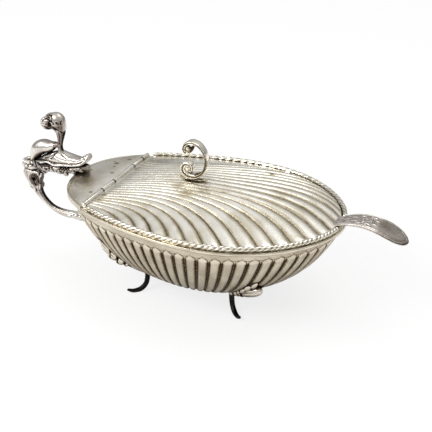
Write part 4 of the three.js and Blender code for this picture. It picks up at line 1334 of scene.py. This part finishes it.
def spoon_relief(out, across, half, slope):
    relief = np.zeros_like(out)
    for x, y, radius in FLOWER_PLACES:
        away = np.hypot(out - x, across - y) / radius
        turn = np.arctan2(across - y, out - x)
        petals = 0.62 + 0.38 * np.cos(5 * turn)
        petal = np.clip(1 - (away / petals - 0.55) ** 2 * 6, 0, 1) * (away < 1.1)
        heart = np.clip(1 - (away / 0.3) ** 2, 0, 1)
        relief = np.maximum(relief, 0.55 * petal)
        relief = np.maximum(relief, 0.65 * heart)
    for x, y, long, wide in LEAF_PLACES:
        away = np.hypot((out - x) / long, (across - y) / wide)
        vein = 1 - 0.5 * ridge(across, y, 0.18)
        relief = np.maximum(relief, 0.45 * vein * np.sqrt(np.clip(1 - away ** 2, 0, 1)))
    edge = (half - np.abs(across)) / np.sqrt(1 + slope ** 2)
    thread = sum(ridge(edge, middle, THREAD_WIDTH) for middle in THREAD_EDGES)
    threaded = ease(out, 92.0, 98.0)
    ground = ease(out, 97.0, 101.0) * (1 - ease(out, 120.5, 123.5)) * (edge > 2.6)
    dark = 0.16 * ground * np.clip(1 - relief / 0.25, 0, 1)
    dots = np.sin(2.9 * out) * np.sin(3.3 * across + 0.4 * out)
    dark = dark + 0.45 * ground * np.clip(dots - 0.55, 0, 1) * 2 * (relief < 0.3)
    patch = np.hypot((out - 127.0) / 5.5, (across - 1.5) / 4.2)
    dark = dark + 0.24 * np.exp(-patch ** 2) + 0.26 * ease(out, 121.0, 127.0)
    # Dark gaps between the threads, and painted shade along the edge
    gaps = ridge(edge, 1.65, 0.3) + ridge(edge, 3.0, 0.35)
    painted_edge_shade = np.exp(-(np.clip(edge, 0, 9) / 0.45) ** 2)
    dark = dark + threaded * (0.30 * gaps + 0.40 * painted_edge_shade)
    return relief + 0.34 * thread * threaded, dark


def make_spoon():
    section = threaded_section(0.75, (), 1.0, 0.0)
    handle = swept_rod("spoon_handle", SPOON_HANDLE, 160, 240, section)
    points = drawn_points(handle)
    facing_up = normals_of(handle)[:, 2] > 0.3
    stations = np.array(SPOON_HANDLE)
    half = np.interp(points[:, 0], stations[:, 0], stations[:, 2])
    half_slopes = np.gradient(stations[:, 2], stations[:, 0])
    slope = np.interp(points[:, 0], stations[:, 0], half_slopes)
    relief, dark = spoon_relief(points[:, 0], points[:, 1], half, slope)
    points[:, 2] += np.where(facing_up, relief, 0)
    set_on_feet(handle, points)
    shade_and_tarnish_hollows(handle, 0.5, 4)
    paint_tarnish_and_shade(handle, tarnish_and_shade_of(handle) + np.where(facing_up, dark, 0.15))
    scoop = shaped_sheet("spoon_scoop", 48, 14, place_scoop)
    weld(scoop)
    apply_modifier(scoop, "SOLIDIFY", thickness=SCOOP_SHEET * MM, offset=0.0)
    spoon = join_pieces("table_spoon", handle, scoop)
    shade(spoon, 60.0)
    return spoon


def place_scoop(u, v):
    turn = u * 2 * math.pi
    x = SCOOP_LENGTH * v * np.cos(turn)
    y = SCOOP_WIDTH * v * np.sin(turn)
    height = SCOOP_DEPTH * (v ** 2 - 1) + SCOOP_SHEET / 2
    tilt_cos = math.cos(SCOOP_TILT)
    tilt_sin = math.sin(SCOOP_TILT)
    points = np.stack((x * tilt_cos - height * tilt_sin, y, x * tilt_sin + height * tilt_cos), axis=1)
    return points + np.array(SCOOP_PLACE), 0 * x


# Feet: ringed buds that lie on the bowl, and black hooked legs, all mirrored from patterns

FOOT_X = 32.6
FOOT_Y = 25.0
BUD_HEADING = math.atan2(12, 28)
FRONT_BUD = (
    (-2.6, -53.9, 1.2, 1.0), (-0.4, -53.5, 1.6, 1.4), (0.2, -53.4, 3.0, 2.8),
    (3.0, -52.4, 3.1, 2.9), (3.5, -52.2, 1.7, 1.6), (4.6, -51.7, 1.7, 1.6),
    (5.1, -51.4, 3.2, 3.0), (8.6, -49.8, 3.4, 3.2), (9.2, -49.5, 2.6, 2.4),
    (9.8, -49.2, 3.7, 3.5), (11.2, -48.5, 3.8, 3.6), (11.7, -48.2, 2.4, 2.2),
    (12.5, -47.7, 2.8, 2.6), (13.6, -47.0, 4.0, 3.9), (17.0, -45.2, 4.5, 4.3),
    (21.0, -43.2, 4.5, 4.3), (24.4, -41.8, 3.8, 3.6), (26.8, -41.0, 2.6, 2.4),
    (28.2, -40.6, 0.8, 0.7),
)
REAR_BUD = (
    (-2.6, -53.9, 1.2, 1.0), (-0.6, -53.6, 2.0, 1.8), (6.0, -51.0, 2.0, 1.8),
    (11.5, -47.9, 2.1, 1.9), (12.9, -47.0, 2.1, 1.9), (13.5, -46.7, 3.1, 2.9),
    (14.7, -45.9, 3.1, 2.9), (15.2, -45.5, 2.0, 1.8), (16.1, -44.9, 2.0, 1.8),
    (16.7, -44.6, 3.9, 3.9), (19.6, -42.4, 4.1, 4.1), (20.1, -41.9, 2.3, 2.2),
    (21.0, -41.1, 2.3, 2.2), (21.6, -40.7, 4.1, 4.1), (24.7, -37.7, 4.0, 4.0),
    (25.2, -37.0, 2.6, 2.5), (26.0, -36.2, 3.1, 3.0), (28.6, -32.9, 3.3, 3.2),
    (31.0, -29.5, 2.1, 1.9), (33.0, -26.2, 0.7, 0.7),
)
SEPALS = (
    (12.0, 6.0, 2.2, 1.3, 0.7), (16.6, 6.2, 2.2, 1.5, 0.1), (21.4, 6.4, 2.4, 1.4, -0.5),
    (26.0, 4.6, 2.4, 1.2, -0.3), (13.5, -5.4, 2.2, 1.3, -0.5), (19.5, -5.6, 2.4, 1.3, 0.4),
)
# Painted shade under the buds; the gaps between their rings hold tarnish and painted shade
BUD_UNDERSIDE_PAINTED_SHADE = 0.34
BUD_GAPS = {
    "front": ((-0.6, 0.6), (4.05, 0.75), (9.2, 0.35), (12.1, 0.6)),
    "rear": ((12.1, 1.0), (15.65, 0.6), (20.55, 0.6), (25.5, 0.45)),
}
LEG_HEADING = math.pi / 4
LEG = (
    (-0.6, -47.7, 2.0, 1.8), (0.0, -53.7, 2.0, 1.8), (0.2, -58.5, 1.9, 1.8),
    (1.6, -63.4, 1.8, 1.8), (5.4, -66.8, 1.8, 1.8), (10.4, -67.4, 1.5, 1.5),
    (14.4, -65.9, 1.0, 1.0), (15.3, -65.3, 0.5, 0.5),
)


def bud_section(angle, along):
    leafy = ease(along, 0.66, 0.74)
    radius = 1 - 0.14 * leafy * np.exp(-((np.abs(np.sin(angle * 1.5))) / 0.16) ** 2)
    return np.cos(angle) * radius, np.sin(angle) * radius


# Height of the bowl's outside over a place

def bowl_height_at(x, y):
    scale = 0.6
    for _ in range(30):
        scale = float(np.clip(radial_of(x - BOWL_SHIFT * (1 - scale), y, BOWL_INSET), 0.01, 1))
    turn = math.acos(scale ** (1 / BOWL_CURVE_IN))
    return -BOWL_DEPTH * math.sin(turn) ** BOWL_CURVE_DOWN


def add_sepal(out, beside, long, wide, turn):
    x = FOOT_X + out * math.cos(BUD_HEADING) - beside * math.sin(BUD_HEADING)
    y = FOOT_Y + out * math.sin(BUD_HEADING) + beside * math.cos(BUD_HEADING)
    sepal = add_ball((0.0, 0.0, 0.0), (long, wide, 2.0), 0.0, 20)
    local = drawn_points(sepal)
    heading = BUD_HEADING + turn
    slope_x = (bowl_height_at(x + 1, y) - bowl_height_at(x - 1, y)) / 2
    slope_y = (bowl_height_at(x, y + 1) - bowl_height_at(x, y - 1)) / 2
    east = local[:, 0] * math.cos(heading) - local[:, 1] * math.sin(heading)
    north = local[:, 0] * math.sin(heading) + local[:, 1] * math.cos(heading)
    rise = slope_x * east + slope_y * north + local[:, 2] - 0.4
    set_on_feet(sepal, np.stack((x + east, y + north, bowl_height_at(x, y) + rise), axis=1))
    return sepal


def make_foot(name, stations, heading, section, sides, steps):
    return swept_rod(name, stations, sides, steps, section, FOOT_X, FOOT_Y, heading)


def mirrored_copy(piece, name, along_x, along_y):
    take(piece)
    bpy.ops.object.duplicate()
    copy = bpy.context.object
    name_piece(copy, name)
    points = drawn_points(copy)
    set_on_feet(copy, points * np.array((along_x, along_y, 1)))
    face_outward(copy)
    return copy


CUT_INTO_WALL = 0.5


def place_bowl_space(u, v):
    turn = v * BOWL_LAST_TURN * math.pi / 2
    place = bowl_at(u * 2 * math.pi, turn, CUT_INTO_WALL)[:3]
    return np.stack(place, axis=1), 0 * u


def trim_by_bowl(piece, bowl_space):
    apply_modifier(piece, "BOOLEAN", operation="DIFFERENCE", object=bowl_space, solver="EXACT")


def make_bowl_space():
    bowl_space = shaped_sheet("bowl_space", 96, 40, place_bowl_space)
    weld(bowl_space)
    close_ends(bowl_space)
    return bowl_space


def darken_bud(bud, end, along_x, along_y):
    shade_and_tarnish_hollows(bud, 0.22, 6, 0.06)
    points = drawn_points(bud)
    beyond_x = points[:, 0] * along_x - FOOT_X
    beyond_y = points[:, 1] * along_y - FOOT_Y
    out = beyond_x * math.cos(BUD_HEADING) + beyond_y * math.sin(BUD_HEADING)
    gaps = sum(ridge(out, at, wide) for at, wide in BUD_GAPS[end])
    # Painted shade under the bud, and tarnish with painted shade in the gaps between its rings
    below = BUD_UNDERSIDE_PAINTED_SHADE * ease(-normals_of(bud)[:, 2], 0.1, 0.8)
    paint_tarnish_and_shade(bud, tarnish_and_shade_of(bud) + gaps + below)


def make_feet(bowl_space):
    front_bud = make_foot("front_bud_stem", FRONT_BUD, BUD_HEADING, bud_section, 36, 190)
    sepals = [add_sepal(*sepal) for sepal in SEPALS]
    front_bud = cast_together("front_bud_pattern", 0.24, front_bud, *sepals)
    rear_bud = make_foot("rear_bud_stem", REAR_BUD, BUD_HEADING, bud_section, 36, 190)
    rear_bud = cast_together("rear_bud_pattern", 0.24, rear_bud)
    leg = make_foot("leg_pattern", LEG, LEG_HEADING, plain_section, 24, 50)
    points = points_of(leg)
    points[:, 2] = np.maximum(points[:, 2], 0.0)
    move_points(leg, points)
    feet = {}
    for end, along_x, bud in (("front", 1, front_bud), ("rear", -1, rear_bud)):
        for side, along_y in (("far", 1), ("near", -1)):
            place = end + "_" + side
            for kind, pattern in (("bud", bud), ("leg", leg)):
                foot = mirrored_copy(pattern, kind + "_" + place, along_x, along_y)
                trim_by_bowl(foot, bowl_space)
                if kind == "bud":
                    darken_bud(foot, end, along_x, along_y)
                shade(foot, 60.0)
                feet[kind, place] = foot
    for spare in (front_bud, rear_bud, leg):
        bpy.data.objects.remove(spare)
    return feet


bowl = make_bowl()
lid = make_lid()
cover = make_cover()
rope_far = make_rope("twisted_rope_far", 1, ROPE_FAR_LUMP)
rope_near = make_rope("twisted_rope_near", -1, ROPE_NEAR_LUMP)
rim_strip = make_strip()


# Materials

def add_node(tree, kind, values=None, **settings):
    node = tree.nodes.new(kind)
    for name, value in settings.items():
        setattr(node, name, value)
    for name, value in (values or {}).items():
        node.inputs[name].default_value = value
    return node


def link(tree, start, output, end, socket):
    tree.links.new(start.outputs[output], end.inputs[socket])


def noise(tree, place, scale, detail):
    pattern = add_node(tree, "ShaderNodeTexNoise", {"Scale": scale, "Detail": detail})
    link(tree, place, "Object", pattern, "Vector")
    return pattern


# Silver plate: clean metal clouded by stains, brown and then black where the painted tarnish and
# shade lie

CLOUD_SCALE = 75.0
CLOUD_RANGE = (0.40, 0.68)
GRIME_SCALE = 700.0
GRIME_GAIN = 1.3
GRIME_LEAST = 0.38
BROWN_RANGE = (0.04, 0.48)
DEEP_RANGE = (0.42, 0.85)
ROUGHER_WHERE_DARK = 0.35
DENT_DEPTH = 0.0006


def silver(name, clean, stained, brown, deep, roughness, dents, dent_size):
    material = bpy.data.materials.new(name)
    material.use_nodes = True
    tree = material.node_tree
    tree.nodes.clear()
    output = add_node(tree, "ShaderNodeOutputMaterial")
    shader = add_node(tree, "ShaderNodeBsdfPrincipled", {"Metallic": 1.0})
    link(tree, shader, "BSDF", output, "Surface")
    place = add_node(tree, "ShaderNodeTexCoord")
    clouds = noise(tree, place, CLOUD_SCALE, 6.0)
    cloud_mix = add_node(tree, "ShaderNodeMapRange", {
        "From Min": CLOUD_RANGE[0], "From Max": CLOUD_RANGE[1]})
    link(tree, clouds, "Fac", cloud_mix, "Value")
    colour = add_node(
        tree, "ShaderNodeMix", {"A": (*clean, 1), "B": (*stained, 1)}, data_type="RGBA")
    link(tree, cloud_mix, "Result", colour, "Factor")
    hollows = add_node(tree, "ShaderNodeAttribute", attribute_name="tarnish_and_shade")
    grime = noise(tree, place, GRIME_SCALE, 5.0)
    gain = add_node(
        tree, "ShaderNodeMath", {1: GRIME_GAIN, 2: GRIME_LEAST}, operation="MULTIPLY_ADD")
    link(tree, grime, "Fac", gain, 0)
    # How much painted tarnish and shade darkens the colour, broken up by grime
    tarnish_and_shade_amount = add_node(tree, "ShaderNodeMath", operation="MULTIPLY", use_clamp=True)
    link(tree, hollows, "Fac", tarnish_and_shade_amount, 0)
    link(tree, gain, "Value", tarnish_and_shade_amount, 1)
    for tint, (low, high) in ((brown, BROWN_RANGE), (deep, DEEP_RANGE)):
        share = add_node(tree, "ShaderNodeMapRange", {
            "From Min": low, "From Max": high}, interpolation_type="SMOOTHSTEP")
        link(tree, tarnish_and_shade_amount, "Value", share, "Value")
        tinted = add_node(tree, "ShaderNodeMix", {"B": (*tint, 1)}, data_type="RGBA")
        link(tree, colour, "Result", tinted, "A")
        link(tree, share, "Result", tinted, "Factor")
        colour = tinted
    link(tree, colour, "Result", shader, "Base Color")
    rough = add_node(tree, "ShaderNodeMapRange", {
        "To Min": roughness, "To Max": roughness + ROUGHER_WHERE_DARK})
    link(tree, tarnish_and_shade_amount, "Value", rough, "Value")
    link(tree, rough, "Result", shader, "Roughness")
    fine = noise(tree, place, 1 / (dent_size * MM), 3.0)
    bump = add_node(tree, "ShaderNodeBump", {"Strength": dents, "Distance": DENT_DEPTH})
    link(tree, fine, "Fac", bump, "Height")
    link(tree, bump, "Normal", shader, "Normal")
    return material


BROWN = (0.26, 0.20, 0.12)
WARM_BLACK = (0.035, 0.022, 0.009)
GREY_BLACK = (0.012, 0.010, 0.008)
bowl_finish = silver(
    "tarnished_and_shaded_bowl_silver", (0.70, 0.64, 0.52), (0.50, 0.44, 0.345), BROWN, WARM_BLACK,
    0.25, 0.30, 7.0)
bud_finish = silver(
    "foot_bud_silver", (0.78, 0.73, 0.63), (0.62, 0.56, 0.46), (0.24, 0.19, 0.12), WARM_BLACK,
    0.22, 0.2, 4.0)
lid_finish = silver(
    "fluted_lid_silver", (0.96, 0.93, 0.85), (0.78, 0.73, 0.61), (0.42, 0.36, 0.25),
    (0.12, 0.095, 0.055), 0.24, 0.10, 9.0)
handle_finish = silver(
    "cast_handle_silver", (0.74, 0.71, 0.66), (0.52, 0.48, 0.43), (0.21, 0.165, 0.14),
    GREY_BLACK, 0.28, 0.45, 3.0)
spoon_finish = silver(
    "spoon_silver", (0.80, 0.76, 0.71), (0.66, 0.61, 0.56), (0.30, 0.26, 0.22), GREY_BLACK,
    0.28, 0.15, 5.0)
# The legs are near-black all over
leg_finish = silver(
    "near_black_leg_metal", (0.014, 0.013, 0.012), (0.03, 0.027, 0.025), (0.01, 0.01, 0.01),
    GREY_BLACK, 0.40, 0.2, 3.0)


def dress(piece, material, body, slot, *nodes):
    piece.data.materials.clear()
    piece.data.materials.append(material)
    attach(piece, body)
    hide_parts(*nodes)


finial = make_finial()
leaf_pad = make_leaf_pad()
figure = make_figure()
wing = make_wing()
shellwork = make_shellwork()
bead_collar = make_bead_collar()
leaf_cup = make_leaf_cup()
bowl_space = make_bowl_space()
strap = make_strap(bowl_space)
feet = make_feet(bowl_space)
bpy.data.objects.remove(bowl_space)
buds = [foot for (kind, place), foot in feet.items() if kind == "bud"]
castings = [figure, wing, shellwork, bead_collar, leaf_cup, strap]
# Painted shade with tarnish in the recesses of the castings, the finial and the buds, and painted
# contact shadows on the bowl, the cover and the lid beside what sits on them
shade_and_tarnish_recesses(castings, [cover], 5.0, 1.1)
shade_and_tarnish_recesses([finial, leaf_pad], [lid], 4.0, 0.8)
shade_and_tarnish_recesses(buds, [bowl], 3.0, 1.2)
paint_contact_shadow(bowl, [*buds, strap], 2.6, 1.5)
keep_inside_clean(bowl)
paint_contact_shadow(cover, [shellwork], 3.4, 0.8)
paint_contact_shadow(lid, [leaf_pad], 1.6, 0.7)

dress(bowl, bowl_finish, "dish", "bowl_silver", "shell_bowl")
dress(rim_strip, bowl_finish, "dish", "bowl_silver", "bowl_rim_strip")
dress(cover, lid_finish, "dish", "lid_silver", "rear_cover")
for piece, node in (
    (lid, "lid_shell"), (rope_far, "lid_rope_far"), (rope_near, "lid_rope_near"),
    (finial, "finial_scroll"), (leaf_pad, "finial_leaf_pad"), (make_nut(), "finial_nut"),
):
    dress(piece, lid_finish, "lid", "lid_silver", node)
dress(make_pin(), lid_finish, "dish", "lid_silver", "hinge_pin")
for number in range(1, 6):
    body = "dish" if number % 2 else "lid"
    node = "hinge_knuckle_" + str(number) + "_" + ("cover" if number % 2 else "lid")
    dress(make_knuckle(node), lid_finish, body, "lid_silver", node)
for casting, node in zip(castings, ("figure", "wing", "bracket", "bead_collar", "leaf_cup", "loop")):
    dress(casting, handle_finish, "dish", "handle_silver", "handle_" + node)
dress(make_spoon(), spoon_finish, "spoon", "spoon_silver", "serving_spoon")
for (kind, place), foot in feet.items():
    finish = leg_finish if kind == "leg" else bud_finish
    slot = "leg_black" if kind == "leg" else "bowl_silver"
    dress(foot, finish, "dish", slot, "foot_" + kind + "_" + place)


# Camera, floor and light

CAMERA_PLACE = (0.22935, -0.48851, 0.33595)
CAMERA_TILT = 62.39
CAMERA_TURN = 23.94
CAMERA_LENS = 72.19
FLOOR_SIZE = 12.0
FLOOR_GLOW_SHARE = 0.8
AIR_FULL_HEIGHT = 0.9
AIR_LOW_LIGHT = 0.30
LAMP_AIM = (0, 0, 0.05)

deselect_everything()
bpy.ops.object.camera_add(
    location=CAMERA_PLACE, rotation=(math.radians(CAMERA_TILT), 0, math.radians(CAMERA_TURN)))
camera = bpy.context.object
camera.data.sensor_width = 36.0
camera.data.lens = CAMERA_LENS
camera.data.clip_start = 0.01
bpy.context.scene.camera = camera

bpy.ops.mesh.primitive_plane_add(size=FLOOR_SIZE)
floor = bpy.context.object
floor.name = "studio_floor"
floor_paint = bpy.data.materials.new("white_floor_paint")
floor_paint.use_nodes = True
paint = floor_paint.node_tree
paint.nodes.clear()
output = add_node(paint, "ShaderNodeOutputMaterial")
matt = add_node(paint, "ShaderNodeBsdfDiffuse", {"Color": (0.95, 0.95, 0.95, 1)})
glow = add_node(paint, "ShaderNodeEmission", {"Strength": 1.0})
rays = add_node(paint, "ShaderNodeLightPath")
share = add_node(paint, "ShaderNodeMath", {1: FLOOR_GLOW_SHARE}, operation="MULTIPLY")
link(paint, rays, "Is Camera Ray", share, 0)
floor_mix = add_node(paint, "ShaderNodeMixShader")
link(paint, share, "Value", floor_mix, "Fac")
link(paint, matt, "BSDF", floor_mix, 1)
link(paint, glow, "Emission", floor_mix, 2)
link(paint, floor_mix, "Shader", output, "Surface")
floor.data.materials.append(floor_paint)

world = bpy.data.worlds.new("studio_air")
bpy.context.scene.world = world
world.use_nodes = True
air = world.node_tree
air.nodes.clear()
air_out = add_node(air, "ShaderNodeOutputWorld")
air_light = add_node(air, "ShaderNodeBackground")
air_place = add_node(air, "ShaderNodeTexCoord")
air_axes = add_node(air, "ShaderNodeSeparateXYZ")
air_ramp = add_node(air, "ShaderNodeMapRange", {
    "From Min": 0.0, "From Max": AIR_FULL_HEIGHT, "To Min": AIR_LOW_LIGHT, "To Max": 1.0,
}, interpolation_type="SMOOTHSTEP")
link(air, air_place, "Generated", air_axes, "Vector")
link(air, air_axes, "Z", air_ramp, "Value")
air_rays = add_node(air, "ShaderNodeLightPath")
air_seen = add_node(air, "ShaderNodeMix", {"B": 1.0}, data_type="FLOAT")
link(air, air_rays, "Is Camera Ray", air_seen, "Factor")
link(air, air_ramp, "Result", air_seen, "A")
link(air, air_seen, "Result", air_light, "Strength")
link(air, air_light, "Background", air_out, "Surface")


def add_softbox(name, place, size, power):
    deselect_everything()
    way = np.array(LAMP_AIM, float) - np.array(place, float)
    flat = math.hypot(way[0], way[1])
    turn = (math.atan2(flat, -way[2]), 0, math.atan2(-way[0], way[1]))
    bpy.ops.object.light_add(type="AREA", location=place, rotation=turn)
    lamp = bpy.context.object
    lamp.name = name
    lamp.data.shape = "RECTANGLE"
    lamp.data.size = size[0]
    lamp.data.size_y = size[1]
    lamp.data.energy = power


add_softbox("softbox_front_left", (-0.9, -1.0, 1.1), (1.0, 0.8), 17.0)
add_softbox("softbox_above", (0.3, 0.3, 1.5), (0.9, 0.9), 6.0)
bpy.context.scene.view_settings.view_transform = "Standard"
